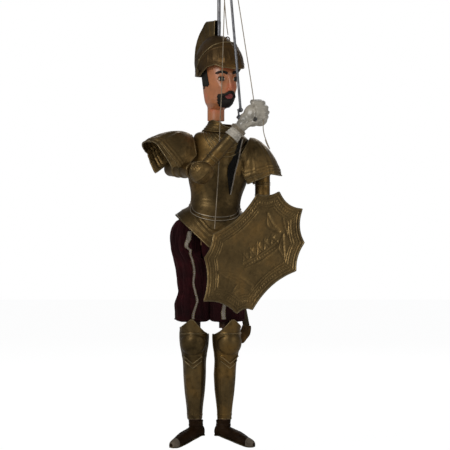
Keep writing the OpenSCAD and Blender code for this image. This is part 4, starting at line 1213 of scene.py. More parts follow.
def breeches_form(side):
    """The full breeches of one leg, with long soft folds and two gathers."""
    rows = BREECHES_R if side == "right" else [(z, -37 - x, y, w, d) for z, x, y, w, d in BREECHES_R]
    shift = 0 if side == "right" else 180

    def folds(angle, z):
        a = math.radians(angle - shift)
        full = 0.4 + 0.6 * smooth([250, 300, 390, 462], [0.5, 0.6, 1.0, 0.15], z)
        r = 1.5 * math.sin(9 * a + 0.9 * math.sin(z / 23.0))
        r += 0.8 * math.sin(17 * a + 1.4 * math.sin(z / 15.0) + 1) + 0.5 * math.sin(31 * a + z / 9.0)
        r += 1.3 * math.sin(z / 8.5 + 2.0 * math.sin(a)) * bell(z, 306, 16)
        r += 0.9 * math.sin(z / 6.0 + 3.0 * math.cos(a)) * bell(z, 268, 14)
        return full * r - 1.2
    return Form(rows, folds)


def make_breeches(sizes):
    """Both legs of the breeches, flat where they meet each other and the seat, and the seat."""
    for side in ("right", "left"):
        form = breeches_form(side)
        verts, faces = body_of_rings(form, 251, 461.5, 220, 150, 3.0)
        body = f"thigh_{side}"
        for v in verts:
            half_seat = smooth([364, 380], [0.0, 18.2], v.z)
            v.x = min(v.x, -18.0 - half_seat) if side == "right" else max(v.x, -19.0 + half_seat)
        cloth = piece(f"breeches_{side}_velvet", (verts, faces), "velvet", body, FIGURE,
                      (f"breeches_{side}",), thick=1.0)
        hem = tube([form.at(6 * k, 256, 0.6) for k in range(60)], HEM_WIRE, closed=True)
        trims = [piece(f"breeches_{side}_hem", hem, "velvet", body)]
        trims += make_braid(sizes, side, form)
    seat = Form(SEAT, lambda a, z: 0.5 * math.sin(7 * math.radians(a) + z / 11.0) - 0.6)
    cloth = piece("breeches_seat_velvet", body_of_rings(seat, 362.5, 461, 72, 44, 2.5),
                  "velvet", "torso", FIGURE, ("breeches_seat",), thick=1.0)


# The braid's line on each leg, from the waist down: height, angle round the leg and width
BRAID_LINES = {
    "right": [(432, 287, 10), (418, 283, 11), (402, 274, 9), (394, 287, 6), (384, 280, 4.5),
              (370, 274, 4.5), (354, 271, 4), (334, 272, 4), (314, 274, 4), (290, 282, 4), (256, 273, 5)],
    "left": [(432, 262, 10), (418, 264, 11), (404, 267, 10), (397, 266, 6), (370, 262, 6), (340, 260, 6),
             (310, 260, 6), (280, 261, 8), (256, 261, 8)],
}
BRAID_TOP = 432
BRAID_DROP = 176
BRAID_WIDTH = 0.009


def make_braid(sizes, side, form):
    """Braid down the outside of the breeches: a flat band with a raised plait and beads."""
    heights, angles, widths = zip(*[(-z, angle, width) for z, angle, width in BRAID_LINES[side]])

    def across(u, v, out=0.0):
        z = BRAID_TOP - BRAID_DROP * v
        a = smooth(heights, angles, -z) + (3.0 * math.sin(z / 9.0) if z < 396 else 0.0)
        w = smooth(heights, widths, -z) * sizes.braid_width / BRAID_WIDTH
        _, _, wide, deep = form.ring(z)
        return form.at(a + math.degrees((u - 0.5) * w / (0.5 * (wide + deep))), z, out)

    def band(u, v):
        plait = 0.5 + 0.5 * math.cos(math.tau * (v * 34 + (u if u < 0.5 else 1 - u)))
        return across(u, v, 1.0 + 0.9 * plait * math.sin(math.pi * u))
    body = f"thigh_{side}"
    beads = [blob(across(u, (k + 0.5) / 40, 1.6), (1.2, 1.2, 1.2), n=7)
             for k in range(40) for u in (0.02, 0.98)]
    return [piece(f"braid_{side}", grid(band, 10, 400), "braid", body, thick=1.0),
            piece(f"braid_{side}_beads", joined(beads), "trim", body)]


GREAVE = [(-158, 0, 4, 14.2, 15.3), (-140, 0, 3, 15.2, 17.3), (-100, 0, 3, 19.7, 23.3),
          (-70, 0, 2, 21.7, 25.3), (-45, 0, -1, 22.4, 24), (-28, 0, -4, 24.5, 28), (-8, 0, -5, 28, 33),
          (8, 0, -5, 29, 34), (22, 0, -6.5, 28, 33), (44, 0, -9, 28, 32.4)]


GREAVE_FOOT = -158
CHEVRONS = (0, 9)
CHEVRON_SLOPE = 0.34


def greave_relief(angle, z):
    """The knee dome, the ridges and chevrons below it, and the keels down the shin."""
    from_keel = abs(angle % 360 - 270)
    side = min(from_keel, 90)
    r = 1.5 * ridge(z, 15, 2.6) * (1.0 if side < 70 else 0.4) + 0.8 * ridge(z, -31, 2.0)
    r += 5.6 * math.sqrt(max(0.0, 1 - ((z + 7) / 21) ** 2 - (side / 62) ** 2))
    if side < 50:
        for drop in CHEVRONS:
            r += 1.5 * ridge(z, -46 - drop + CHEVRON_SLOPE * min(side, 46), 2.0)
    r += 0.8 * ridge(z, -150, 2) + 1.0 * ridge(side, 0, 5) * smooth([-84, -66], [1, 0], z)
    return r + 0.6 * ridge(from_keel, 44, 4) * smooth([-84, -60], [1, 0], z)


def make_greave(sizes, side, at):
    """One leg guard with a knee dome, and the wires along its edges and its chevrons."""
    form = Form(GREAVE, greave_relief)
    inward = 1 if side == "right" else -1

    def top(a):
        """The pointed top edge, which falls lower on the inner side."""
        _, _, w, _ = form.ring(30)
        x = w * math.cos(math.radians(a)) * inward
        return 43 - (30 * min(1.0, (x - 2) / 25) if x > 2 else 17 * min(1.0, max(0.0, (-x - 3) / 23)))

    def point(u, v):
        a = 181 + 178 * u
        return form.at(a, GREAVE_FOOT + (top(a) - GREAVE_FOOT) * v)

    def mark(reach, foot, rise, out):
        """A line across the front, from the middle up to both sides."""
        return [form.at(270 + reach * t / 16, foot + rise * abs(t) / 16, out) for t in range(-16, 17)]
    piece(f"greave_{side}_sheet", grid(point, 72, 150),
          "brass", f"shin_{side}", at, (f"greave_{side}",), thick=SHEET)
    edges = [[point(i / 60, 0.997) for i in range(61)], [point(i / 30, 0.004) for i in range(31)],
             [point(0.004, j / 60) for j in range(61)], [point(0.996, j / 60) for j in range(61)]]
    marks = [mark(44, -46 - drop, CHEVRON_SLOPE * 44, 0.3) for drop in CHEVRONS] + [mark(50, 15, 0, 0.2)]
    wires = [tube(line, sizes.edge_wire * 0.75) for line in edges]
    wires += [tube(line, sizes.edge_wire * 0.8) for line in marks]
    piece(f"greave_{side}_edge", joined(wires), "trim", f"shin_{side}", at)


SCABBARD_TOP = Vector((18, 69, 427))
SCABBARD_TIP = Vector((56, 69, 235))
SCABBARD_WAY = (SCABBARD_TIP - SCABBARD_TOP).normalized()
SCABBARD_SIDE = Vector((0, 1, 0)).cross(SCABBARD_WAY).normalized()
CHAPE_PLACE = Vector((56, 69, 238))
CHAPE_LEAN = math.radians(17)
CHAPE_SHAPE = [(-8, 2), (0, 0), (8, 2), (12, -14), (8, -27), (4, -36), (0, -37.5), (-4, -36), (-7, -27),
               (-9, -14)]
# The chape's layers through its thickness: place and share of the outline
CHAPE_LAYERS = ((3.5, 0.80), (2.9, 1.0), (-2.9, 1.0), (-3.5, 0.80))
SCABBARD_PIN = Vector((14, 63, 446))


def scabbard_section(t, u, wide, deep, out=0.0):
    """A point of the flat round body, t down from the top, with a seam on both faces."""
    a = math.tau * u
    c, s = math.cos(a), math.sin(a)
    x = wide * math.copysign(abs(c) ** 0.75, c)
    y = deep * math.copysign(abs(s) ** 0.6, s)
    seam = 0.45 * bell(x, 0, 1.1) if abs(s) > 0.5 else 0.0
    middle = SCABBARD_TOP + SCABBARD_WAY * t
    return middle + SCABBARD_SIDE * (x + out * c) + Vector((0, y + (out + seam) * s, 0))


def scabbard_chape():
    """The metal tip: its outline in four layers, smaller at both faces."""
    outline = run([(x, z, 0) for x, z in CHAPE_SHAPE + CHAPE_SHAPE[:1]], 1.6)[:-1]
    verts, faces, m = [], [], len(outline)
    for y, k in CHAPE_LAYERS:
        for p in outline:
            x, z = p.x * k, (p.y + 17) * k - 17
            verts.append(CHAPE_PLACE + Vector((x * math.cos(CHAPE_LEAN) + z * math.sin(CHAPE_LEAN), y,
                                               z * math.cos(CHAPE_LEAN) - x * math.sin(CHAPE_LEAN))))
    for a in (0, m, 2 * m):
        faces += [(a + i, a + (i + 1) % m, a + m + (i + 1) % m, a + m + i) for i in range(m)]
    return verts, faces + [tuple(range(m))[::-1], tuple(range(3 * m, 4 * m))]


def make_scabbard():
    """The empty scabbard: a flat leather body with seams, a metal throat and chape, and two straps."""
    length = (SCABBARD_TIP - SCABBARD_TOP).length

    def body(u, v):
        k = 0.02 if v in (0.0, 1.0) else 1.0
        return scabbard_section(length * v, u, k * (7.7 - 1.0 * v), k * 2.9)

    def throat(u, v):
        rims = 0.35 * (ridge(v, 0.1, 0.1) + ridge(v, 0.9, 0.1))
        return scabbard_section(0.5 + 16 * v, u, 7.9, 3.0, rims)
    piece("scabbard_body", grid(body, 48, 90, wrap=True),
          "scabbard", "scabbard", FIGURE, ("scabbard",))
    piece("scabbard_throat", grid(throat, 48, 20, wrap=True),
          "dark_brass", "scabbard", thick=0.6)
    piece("scabbard_chape", scabbard_chape(), "dark_brass", "scabbard", sharp=40)
    parts = []
    for s in (-1, 1):
        ring = circle(SCABBARD_PIN + Vector((s * 8.5, 0, 0)), 3.6, 20, "X")
        parts.append(tube(ring, 0.0024, closed=True))
        strap = [(s * 8.5, 0.5, -3.6), (s * 7.5 + 2, 3, -13), (s * 6 + 4, 5.2, -24)]
        parts.append(tube(run([SCABBARD_PIN + Vector(q) for q in strap]), 0.0026))
    parts.append(tube([SCABBARD_PIN + Vector((x, 0, 0)) for x in (-10, -4, 4, 10)], 0.003, 12))
    piece("scabbard_rings", joined(parts), "dark_brass", "scabbard")


# Head and helmet. Forms are drawn looking along X.

HEAD = [(651, -12, 0, 17.0, 17.0), (674, -12, 0, 17.0, 17.0), (680, -4, 0, 25, 20), (688, 1, 0, 34, 25.5),
        (700, 2, 0, 38.5, 28), (716, 2, 0, 40.5, 30), (728, 1, 0, 40.5, 31.5), (740, 0, 0, 41, 32.5),
        (752, -2, 0, 41.5, 33), (764, -4, 0, 40.5, 33), (776, -4, 0, 38, 32.5), (792, -5, 0, 31, 27.5),
        (804, -5, 0, 20, 18)]


NOSE = [(709, 41.5, 0, 3.4, 5.6), (711, 42.4, 0, 5.6, 6.6), (714, 42.6, 0, 6.6, 6.2),
        (717, 42.4, 0, 6.4, 4.8), (723, 42.0, 0, 5.6, 3.6), (731, 40.6, 0, 4.6, 3.3),
        (738, 39.4, 0, 3.6, 3.6), (744, 38.6, 0, 3, 4.2)]
HEAD_FOOT = 651.5
HEAD_RISE = 152
MOUTH = 699.4
EYES = 734
EYE_ANGLE = 29
GAZE_ANGLE = 22


def from_front(angle):
    """How far an angle round the head is from its front, in degrees."""
    return abs((angle + 180) % 360 - 180)


def face_relief(angle, z):
    """The carved features of a painted face."""
    s = from_front(angle)
    brow = 2.2 * bell(z, 746, 5) * bell(s, 17, 15)
    socket = 2.6 * bell(z, EYES, 3.8) * bell(s, 23, 7) - 3.4 * bell(z, 735, 7) * bell(s, 23, 9)
    cheek = 2.8 * bell(z, 718, 11) * bell(s, 33, 14) - 1.4 * bell(z, 703, 9) * bell(s, 42, 12)
    lips = (3.4 * bell(z, 708, 9) * bell(s, 0, 17) + 1.6 * bell(z, 703.2, 2.1) * bell(s, 4, 7)
            + 2.2 * bell(z, 695.6, 2.4) * bell(s, 0, 8) - 1.6 * bell(z, MOUTH, 1.3) * bell(s, 0, 11))
    jaw = 3.2 * bell(z, 686, 6) * bell(s, 0, 15) + 1.6 * bell(z, 696, 5) * bell(s, 70, 16)
    return brow + socket + cheek + lips + jaw


def paint_head(obj):
    """Gives the faces of the head their paint: 1 for hair and beard, 2 for lips."""
    back = FACE.inverted()
    for p in obj.data.polygons:
        x, y, z = back @ Vector((p.center.x * 1000, p.center.y * 1000, p.center.z * 1000 + HANG))
        a = abs(math.degrees(math.atan2(y, x + 2)))
        wave = 2.5 * math.sin(z * 0.7)
        hair = z > 780 or (z > 718 + wave and a > 96 + wave) or (a > 82 + wave and 722 < z < 762)
        beard = 680 < z < 707 - 0.10 * a and a < 35 + 1.2 * math.sin(z) - 0.06 * max(0.0, 690 - z) ** 2
        if hair or beard:
            p.material_index = 1
        if abs(z - MOUTH) < 5.0 and a < 12 - 0.32 * (z - MOUTH) ** 2:
            p.material_index = 2


def make_eye(form, s):
    """One eye: its ball, its iris, its lids and its dark lashes. s is 1 at the left and -1 at the right."""
    name = "left" if s > 0 else "right"
    c = form.at(s * EYE_ANGLE, EYES, -3.6)
    gaze = Vector((math.cos(math.radians(s * GAZE_ANGLE)), math.sin(math.radians(s * GAZE_ANGLE)), 0))
    piece(f"eye_{name}", blob(c, (6.0, 8.6, 5.8), (0, 0, s * EYE_ANGLE), 20),
          "eye", "rod_body", FACE)
    piece(f"iris_{name}", blob(c + gaze * 4.1, (2.9, 4.7, 4.7), (0, 0, s * GAZE_ANGLE), 16),
          "hair", "rod_body", FACE)

    def lid(lift, wide, out, fat):
        corners = [(-wide, EYES - 0.6, -0.3), (-wide / 2, EYES + lift, out),
                   (wide / 2, EYES + lift * 0.9, out), (wide, EYES - 1.0, -0.3)]
        return tube(run([form.at(s * (EYE_ANGLE + a), z, k) for a, z, k in corners], 1.0), fat, 10)
    piece(f"lids_{name}", joined([lid(5.4, 14.0, 1.7, 0.0034), lid(-5.2, 12.5, 0.6, 0.0024)]),
          "skin", "rod_body", FACE)
    piece(f"lashes_{name}", joined([lid(4.0, 13.5, 2.6, 0.0022), lid(-4.2, 12, 1.5, 0.0014)]),
          "hair", "rod_body", FACE)


def strand(root, tip, lift, fat, step=None):
    """One carved lock of hair, bowed by lift in its middle."""
    points = [root, root.lerp(tip, 0.5) + Vector(lift), tip]
    return tube(run(points, step) if step else points, fat)


def brow_and_moustache(form, s):
    """The locks of one side: 12 along the brow and 7 pairs in the moustache."""
    locks = []
    for k in range(12):
        t = k / 11
        lift = 2.0 + 4.6 * math.sin(math.pi * (0.15 + 0.72 * t))
        root = form.at(s * (11 + 31 * t), 740.0 + lift, 1.2)
        tip = form.at(s * (16 + 31 * t), 743.0 + lift - 1.5 * t, 1.2)
        locks.append(strand(root, tip, (0.5, 0, 0.3), 0.0050 - 0.0022 * t))
    for k in range(7):
        t = k / 6
        for row in range(2):
            root = form.at(s * (1.5 + 7 * t), 708.4 + 0.6 * row - 0.8 * t, 1.4 + row * 0.9)
            tip = form.at(s * (10 + 23 * t), 704.0 - 6.5 * t + 0.8 * row, 2.6 - 1.6 * t + 0.8 * row)
            locks.append(strand(root, tip, (0.8, 0, 0.8), 0.0034, 1.2))
    return locks


def beard(form):
    """Three rows of locks that draw together below the chin."""
    locks = []
    for k in range(23):
        t = (k - 11) / 11
        middle = 1 - abs(t)
        for row in range(3):
            root = form.at(t * (26 + 5 * row), 694.0 - 3.0 * row - 0.8 * abs(t), 0.4)
            tip = form.at(t * (16 + 4 * row), 685 - 2.6 * row, 2.4 + 0.6 * row)
            tip += Vector((1.0 + 1.2 * middle, 0, -2.0 + 1.5 * abs(t)))
            locks.append(strand(root, tip, (2.2 * middle + 0.9, 0, 0.3), 0.0032, 1.6))
    return locks


def side_hair(form, s):
    """The locks that hang from under the helmet at one side."""
    locks = []
    for k in range(12):
        a = s * (79 + 2.2 * k)
        foot = form.at(a - s * 2 + s * 2 * math.sin(k * 2.1), 722 + 3 * math.sin(k * 1.7), 0.1)
        points = [form.at(a + 0.8, 762, 0.2), form.at(a, 750, 1.3), form.at(a - s, 736, 1.1), foot]
        locks.append(tube(run(points, 2.0), 0.0034))
    return locks


def make_head():
    """The carved head and neck with its painted hair, nose, eyes and carved locks."""
    form = Form(HEAD, face_relief)

    def skin(u, v):
        return form.at(360 * u - 180, HEAD_FOOT + HEAD_RISE * v, -1.5 if v in (0.0, 1.0) else 0.0)
    verts, faces = grid(skin, 160, 170, wrap=True)
    faces += [tuple(range(160))[::-1], tuple(range(170 * 160, 171 * 160))]
    obj = piece("head_carved", (verts, faces), "skin", "rod_body", FACE, ("head",),
                mats=("hair", "lips"))
    paint_head(obj)
    nose = Form(NOSE, lambda a, z: 0.8 * bell(z, 713, 2.6) * bell(from_front(a), 70, 25))
    piece("nose", body_of_rings(nose, 709, 744, 32, 40, 1.4), "skin", "rod_body", FACE)
    for s in (-1, 1):
        make_eye(form, s)
    locks = brow_and_moustache(form, -1) + brow_and_moustache(form, 1) + beard(form)
    locks += side_hair(form, -1) + side_hair(form, 1)
    piece("hair_carved", joined(locks), "hair", "rod_body", FACE)


SKULL = [(742, -6, 0, 50, 40), (765, -6, 0, 51, 41), (785, -6, 0, 47, 38), (803, -6, 0, 38, 31),
         (816, -6, 0, 25, 20), (820, -6, 0, 18, 14.5), (822, -6, 0, 11, 9)]
SKULL_TOP = 822
CREST = [(-52, 746), (-66, 750), (-73, 772), (-71, 796), (-62, 820), (-46, 840), (-32, 852), (-5, 852)]
CREST_HALF = 7.3


def leaf_relief(x, z):
    """A scrolling leaf beaten into the side of the helmet."""
    r = 0.0
    for k in range(7):
        t = k / 6
        cx, cz = -34 + 46 * t, 770 + 16 * math.sin(2.4 * t)
        w = 5.2 - 2.6 * t
        lean = math.radians(70 - 50 * t)
        for s in (-1, 1):
            dx, dz = x - cx - s * 0.6 * w * math.cos(lean + s), z - cz - s * w * math.sin(lean + s)
            r = max(r, 1.3 * math.exp(-(math.hypot(dx, dz * 0.62) / (w * 0.55)) ** 2))
        r = max(r, 0.9 * math.exp(-(math.hypot(x - cx, z - cz) / 2.4) ** 2))
    return r


def make_skull(sizes, plain):
    """The skull piece with its beaten leaves, open at the front below the brow, and its wired rim."""
    form = Form(SKULL, lambda a, z: leaf_relief(plain.at(a, z).x, z)
                + 0.9 * ridge(z, 746, 1.8) + 0.6 * ridge(z, 750.5, 1.4))
    n = 200

    def point(u, v):
        low = 742.2 + 23.2 * min(1.0, max(0.0, (plain.at(360 * u, 760).x + 4.5) / 5.0))
        return form.at(360 * u, low + (SKULL_TOP - low) * v)
    verts, faces = grid(point, n, 96, wrap=True)
    count = len(verts)
    verts.append(Vector((-6, 0, SKULL_TOP + 0.3)))
    faces += [(count - n + i, count - n + (i + 1) % n, count) for i in range(n)]
    piece("helmet_skull_sheet", (verts, faces),
          "dark_brass", "rod_body", FACING, ("helmet_skull",), thick=SHEET)
    rim = tube([point(i / 160, 0.004) for i in range(160)], sizes.edge_wire * 0.9, closed=True)
    piece("helmet_rim", rim, "trim", "rod_body", FACING)


def crest_foot(plain, p):
    """Where the crest's side meets the skull, on the way from its back down to the middle of the head."""
    middle, back = Vector((-8, 0, 752)), Vector((p.x, 0, p.y))
    low, high = 0.0, 1.0
    for _ in range(18):
        m = (low + high) / 2
        w = middle.lerp(back, m)
        cx, _, wide, deep = plain.ring(min(SKULL_TOP - 0.1, max(742, w.z)))
        inside = ((w.x - cx) / wide) ** 2 + (7.0 / deep) ** 2 < 1 and w.z < SKULL_TOP
        low, high = (m, high) if inside else (low, m)
    return middle.lerp(back, high - 0.015)


def make_crest(plain):
    """The crest: two cheeks with beaten ribs, a rounded back, and an open front."""
    back = run([(x, z, 0) for x, z in CREST], 2.0)
    last = len(back) - 1

    def side(u, v):
        i = min(last - 1, int(u * last))
        p = back[i].lerp(back[i + 1], u * last - i)
        s = 2 * v - 1
        y = CREST_HALF * math.copysign(min(1.0, abs(s) * 3.2) ** 0.6, s) if s else 0.0
        drop = max(0.0, (abs(s) - 0.28) / 0.72)
        groove = 0.7 * max(0.0, math.cos(u * 58)) * min(1.0, drop * 5) * (1 if drop < 0.92 else 0)
        q = Vector((p.x, 0, p.y)).lerp(crest_foot(plain, p), drop)
        q.y = y + math.copysign(groove * min(1.0, abs(s) * 2), s)
        return q
    # The crest takes the paler brass copy, which is painted light.
    piece("helmet_crest_sheet", grid(side, 130, 44),
          "painted_light_brass", "rod_body", FACING, ("helmet_crest",), thick=1.2)
    wires = [tube([side(u / 80, v) for u in range(81)], 0.0017) for v in (0.34, 0.66)]
    wires.append(tube([side(1.0, v / 30) for v in range(31)], 0.0022))
    piece("helmet_crest_lines", joined(wires), "trim", "rod_body", FACING)


def make_helmet(sizes):
    """The skull piece, its crest and four knobs."""
    plain = Form(SKULL)
    make_skull(sizes, plain)
    make_crest(plain)
    knobs = [blob(plain.at(a, 781 - 4 * k, 0.8), (2.2, 2.2, 2.2), n=10)
             for k, a in enumerate((96, 84, 264, 276))]
    piece("helmet_rivets", joined(knobs), "trim", "rod_body", FACING)


# Visor

VISOR = [(738, 0, 0, 61, 44.6), (760, 0, 0, 61, 44.8), (772, -1, 0, 59, 44.4), (788, -3, 0, 54, 41),
         (802, -5, 0, 46, 35.5), (810, -6, 0, 39, 31)]
# The visor's lower and upper edges, seen from the side: place from back to front, and height
VISOR_LOW = [(-17, 744), (-12, 740), (-4, 742), (4, 748), (18, 758), (36, 762), (50, 756), (70, 752)]
VISOR_HIGH = [(-17, 758), (-9, 770), (4, 786), (20, 800), (34, 807), (70, 807)]
VISOR_REACH = math.degrees(math.acos(-17 / 61.0))
VISOR_COLUMNS = 120


def on_line(line, x):
    """Height of a line of straight stretches."""
    for (x0, z0), (x1, z1) in zip(line, line[1:]):
        if x0 <= x <= x1:
            return z0 + (z1 - z0) * (x - x0) / (x1 - x0)
    return line[0][1] if x < line[0][0] else line[-1][1]


def visor_relief(u, v):
    """Two ridges along the edges, a keel in the middle and five ribs to each side."""
    s = abs(2 * u - 1)
    ribs = sum(0.9 * bell(s, 0.16 + 0.13 * k, 0.02) for k in range(5))
    edges = ridge(v, 0.12, 0.05) + 0.8 * ridge(v, 0.86, 0.05)
    return edges + 1.2 * bell(s, 0.0, 0.03) + ribs * bell(v, 0.5, 0.30)


def make_visor(sizes):
    """The raised visor: a wide bent band with a wired edge and ribs."""
    plain = Form(VISOR)

    def edge(angle, line):
        z = 765.0
        for _ in range(24):
            z = 0.6 * z + 0.4 * on_line(line, plain.at(angle, z).x)
        return z

    columns = []
    for i in range(VISOR_COLUMNS + 1):
        a = VISOR_REACH * (2 * i / VISOR_COLUMNS - 1)
        columns.append((a, edge(a, VISOR_LOW), edge(a, VISOR_HIGH)))

    def point(u, v):
        i = min(VISOR_COLUMNS - 1, int(u * VISOR_COLUMNS))
        t = u * VISOR_COLUMNS - i
        a, low, high = [p + (q - p) * t for p, q in zip(columns[i], columns[i + 1])]
        return plain.at(a, low + (high - low) * v, visor_relief(u, v) - 1.2)
    piece("visor_sheet", grid(point, 150, 44),
          "dark_brass", "visor", FACING, ("visor",), thick=1.3)
    ring = [point(i / 90, 0.0) for i in range(91)] + [point(1.0, j / 8) for j in range(1, 8)]
    ring += [point(1 - i / 90, 1.0) for i in range(91)] + [point(0.0, 1 - j / 8) for j in range(1, 8)]
    piece("visor_edge", tube(ring, sizes.edge_wire * 0.8, closed=True),
          "trim", "visor", FACING)


# Strings. Each route's points are those of the solids.

HELMET_STRING = [(18, -20, 822), (16, -21, 835), (13.5, -20, 860), (10.5, -14, 895), (7, -7, 920),
                 (4, -2, 934)]
SWORD_STRING = [(68, -98, 689), (62, -94.5, 730), (54, -91.5, 780), (44, -87, 845), (32, -82.5, 920),
                (24, -79, 965), (17.4, -75.3, 1005)]
SWORD_TAIL = [(86, -112, 652), (87, -116, 647), (86, -117, 636), (88, -116, 622), (92, -115, 610),
              (97, -114, 598), (99, -113.5, 594), (97, -113, 596), (93, -112, 604), (90, -111.5, 612)]
SHIELD_STRING = [(19.3, -38.4, 1083.6), (16, -43, 999.3), (12, -50, 910.6), (9, -58, 821.9),
                 (7, -64, 759.8), (5, -69, 699.9), (2, -74, 640), (0, -77, 570), (-4, -77, 500),
                 (-8.5, -78, 438)]


def string(name, route, sizes, body, node, far_end, lay="taut"):
    """A free string, drawn as a round curve along its route."""
    points = [up(*p) for p in route]
    curve = bpy.data.curves.new(name, "CURVE")
    curve.dimensions, curve.bevel_depth, curve.bevel_resolution = "3D", sizes.string / 2, 3
    curve.use_fill_caps = True
    spline = curve.splines.new("POLY")
    spline.points.add(len(points) - 1)
    for p, q in zip(spline.points, points):
        p.co = (*q, 1.0)
    curve.materials.append(FINISHES["string"])
    obj = bpy.data.objects.new(name, curve)
    bpy.context.scene.collection.objects.link(obj)
    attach(obj, body)
    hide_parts(node)
    return obj


WRIST_TURN_RADIUS = 15.6
WRIST_TURN_PITCH = 2.4
WRIST_TURN_START = -112


def wrist_turn(i):
    """A point of the cord round the wrist, with 24 points to a turn."""
    a = math.tau * i / 24
    return FOREARM_R @ Vector((WRIST_TURN_RADIUS * math.cos(a), WRIST_TURN_RADIUS * math.sin(a),
                               WRIST_TURN_START + i / 24 * WRIST_TURN_PITCH))


def make_strings(sizes):
    """Each route is smoothed with its own step, and the cord at the wrist is wound in a loop."""
    string("helmet_string_line", run(HELMET_STRING, 4.0), sizes, "rod_body", "helmet_string", "object")
    string("sword_string_line", run(SWORD_STRING, 8.0), sizes, "hand_rod", "sword_string", "object")
    string("sword_string_end", run(SWORD_TAIL, 2.0), sizes, "forearm_right", "sword_string_tail", "bare",
           "hanging")
    string("shield_string_line", run(SHIELD_STRING, 16.0), sizes, "shield", "shield_string", "object")
    turns = [wrist_turn(i) for i in range(24 * sizes.rope_turns + 1)]
    string("wrist_tie_turns", turns, sizes, "forearm_right", "wrist_tie", "object", "coiled")


# Operators: each makes one piece, or one group of like pieces

class KNIGHT_OT_stage(bpy.types.Operator):
    """Sets the floor, the lamps, the camera and the finishes"""
    bl_idname = "knight.stage"
    bl_label = "Stage and camera"

    def execute(self, context):
        make_finishes(context.scene.knight_colours)
        make_stage()
        return {"FINISHED"}


class KNIGHT_OT_hardware(bpy.types.Operator):
    """Gives the rods, pins and wooden limbs their finishes"""
    bl_idname = "knight.hardware"
    bl_label = "Rods, pins and wood"

    def execute(self, context):
        make_hardware()
        return {"FINISHED"}


class KNIGHT_OT_torso(bpy.types.Operator):
    """Makes the breastplate, the backplate and the collar"""
    bl_idname = "knight.torso"
    bl_label = "Torso armour"

    def execute(self, context):
        make_torso(context.scene.knight_sizes)
        return {"FINISHED"}


class KNIGHT_OT_skirt(bpy.types.Operator):
    """Makes the skirt of lames and its wires"""
    bl_idname = "knight.skirt"
    bl_label = "Skirt"

    def execute(self, context):
        make_skirt(context.scene.knight_sizes)
        return {"FINISHED"}


class KNIGHT_OT_shade_ribbon(bpy.types.Operator):
    """Makes the ribbon of painted shade down the breastplate"""
    bl_idname = "knight.ribbon"
    bl_label = "Ribbon"

    def execute(self, context):
        make_shade_ribbon()
        return {"FINISHED"}


class KNIGHT_OT_pauldrons(bpy.types.Operator):
    """Makes the two shoulder pieces"""
    bl_idname = "knight.pauldrons"
    bl_label = "Pauldrons"

    def execute(self, context):
        make_pauldron(context.scene.knight_sizes, "right", PAULDRON_R)
        make_pauldron(context.scene.knight_sizes, "left", PAULDRON_L)
        return {"FINISHED"}


class KNIGHT_OT_arms(bpy.types.Operator):
    """Makes the fine parts of the arms, the elbow guards and the cuffs"""
    bl_idname = "knight.arms"
    bl_label = "Arms"

    def execute(self, context):
        make_arm(context.scene.knight_sizes, "right", ARM_R, FOREARM_R)
        make_arm(context.scene.knight_sizes, "left", ARM_L, FOREARM_L)
        return {"FINISHED"}


class KNIGHT_OT_hands(bpy.types.Operator):
    """Carves the two fists"""
    bl_idname = "knight.hands"
    bl_label = "Hands"

    def execute(self, context):
        make_hands()
        return {"FINISHED"}


class KNIGHT_OT_shield(bpy.types.Operator):
    """Makes the shield's beaten face and its rim"""
    bl_idname = "knight.shield"
    bl_label = "Shield"

    def execute(self, context):
        make_shield(context.scene.knight_sizes)
        return {"FINISHED"}


class KNIGHT_OT_breeches(bpy.types.Operator):
    """Makes the velvet breeches and their braid"""
    bl_idname = "knight.breeches"
    bl_label = "Breeches"

    def execute(self, context):
        make_breeches(context.scene.knight_sizes)
        return {"FINISHED"}


class KNIGHT_OT_greaves(bpy.types.Operator):
    """Makes the two leg guards"""
    bl_idname = "knight.greaves"
    bl_label = "Greaves"

    def execute(self, context):
        make_greave(context.scene.knight_sizes, "right", SHIN_R)
        make_greave(context.scene.knight_sizes, "left", SHIN_L)
        return {"FINISHED"}


class KNIGHT_OT_shoes(bpy.types.Operator):
    """Makes the two shoes"""
    bl_idname = "knight.shoes"
    bl_label = "Shoes"

    def execute(self, context):
        make_shoes()
        return {"FINISHED"}


class KNIGHT_OT_scabbard(bpy.types.Operator):
    """Makes the empty scabbard"""
    bl_idname = "knight.scabbard"
    bl_label = "Scabbard"

    def execute(self, context):
        make_scabbard()
        return {"FINISHED"}


class KNIGHT_OT_head(bpy.types.Operator):
    """Carves the head, its face and its hair"""
    bl_idname = "knight.head"
    bl_label = "Head"

    def execute(self, context):
        make_head()
        return {"FINISHED"}


class KNIGHT_OT_helmet(bpy.types.Operator):
    """Makes the skull of the helmet, its crest and its rivets"""
    bl_idname = "knight.helmet"
    bl_label = "Helmet"

    def execute(self, context):
        make_helmet(context.scene.knight_sizes)
        return {"FINISHED"}


class KNIGHT_OT_visor(bpy.types.Operator):
    """Makes the raised visor"""
    bl_idname = "knight.visor"
    bl_label = "Visor"

    def execute(self, context):
        make_visor(context.scene.knight_sizes)
        return {"FINISHED"}


class KNIGHT_OT_strings(bpy.types.Operator):
    """Draws the strings and the cord tied round the wrist"""
    bl_idname = "knight.strings"
    bl_label = "Strings"

    def execute(self, context):
        make_strings(context.scene.knight_sizes)
        return {"FINISHED"}


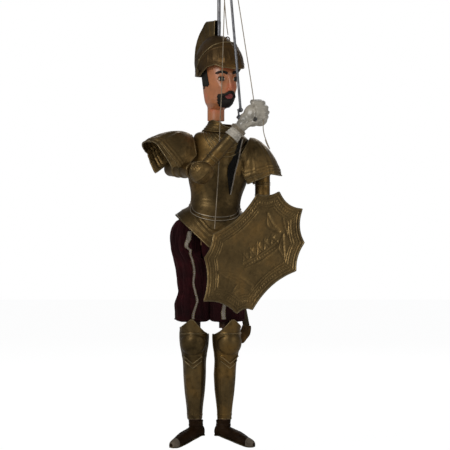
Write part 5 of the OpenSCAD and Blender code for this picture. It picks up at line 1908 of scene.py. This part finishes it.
OPERATORS = (
    KNIGHT_OT_stage, KNIGHT_OT_hardware, KNIGHT_OT_torso, KNIGHT_OT_skirt, KNIGHT_OT_shade_ribbon,
    KNIGHT_OT_pauldrons, KNIGHT_OT_arms, KNIGHT_OT_hands, KNIGHT_OT_shield, KNIGHT_OT_breeches,
    KNIGHT_OT_greaves, KNIGHT_OT_shoes, KNIGHT_OT_scabbard, KNIGHT_OT_head, KNIGHT_OT_helmet,
    KNIGHT_OT_visor, KNIGHT_OT_strings,
)


class KNIGHT_PT_sidebar(bpy.types.Panel):
    """Lists the sizes, the colours and the operators"""
    bl_idname = "KNIGHT_PT_sidebar"
    bl_label = "Knight Marionette"
    bl_space_type = "VIEW_3D"
    bl_region_type = "UI"
    bl_category = "Knight"

    def draw(self, context):
        for group in (context.scene.knight_sizes, context.scene.knight_colours):
            column = self.layout.column()
            for name in group.__annotations__:
                column.prop(group, name)
        for cls in OPERATORS:
            self.layout.operator(cls.bl_idname)


CLASSES = (KnightSizes, KnightColours, *OPERATORS, KNIGHT_PT_sidebar)


def register():
    """Adds the classes and the two groups of values."""
    for cls in CLASSES:
        bpy.utils.register_class(cls)
    bpy.types.Scene.knight_sizes = PointerProperty(type=KnightSizes)
    bpy.types.Scene.knight_colours = PointerProperty(type=KnightColours)


def unregister():
    """Takes the groups of values and the classes out again."""
    del bpy.types.Scene.knight_colours
    del bpy.types.Scene.knight_sizes
    for cls in reversed(CLASSES):
        bpy.utils.unregister_class(cls)


def main():
    """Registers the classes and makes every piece."""
    register()
    bpy.ops.knight.stage()
    bpy.ops.knight.hardware()
    bpy.ops.knight.torso()
    bpy.ops.knight.skirt()
    bpy.ops.knight.ribbon()
    bpy.ops.knight.pauldrons()
    bpy.ops.knight.arms()
    bpy.ops.knight.hands()
    bpy.ops.knight.shield()
    bpy.ops.knight.breeches()
    bpy.ops.knight.greaves()
    bpy.ops.knight.shoes()
    bpy.ops.knight.scabbard()
    bpy.ops.knight.head()
    bpy.ops.knight.helmet()
    bpy.ops.knight.visor()
    bpy.ops.knight.strings()


if __name__ == "__main__":
    main()
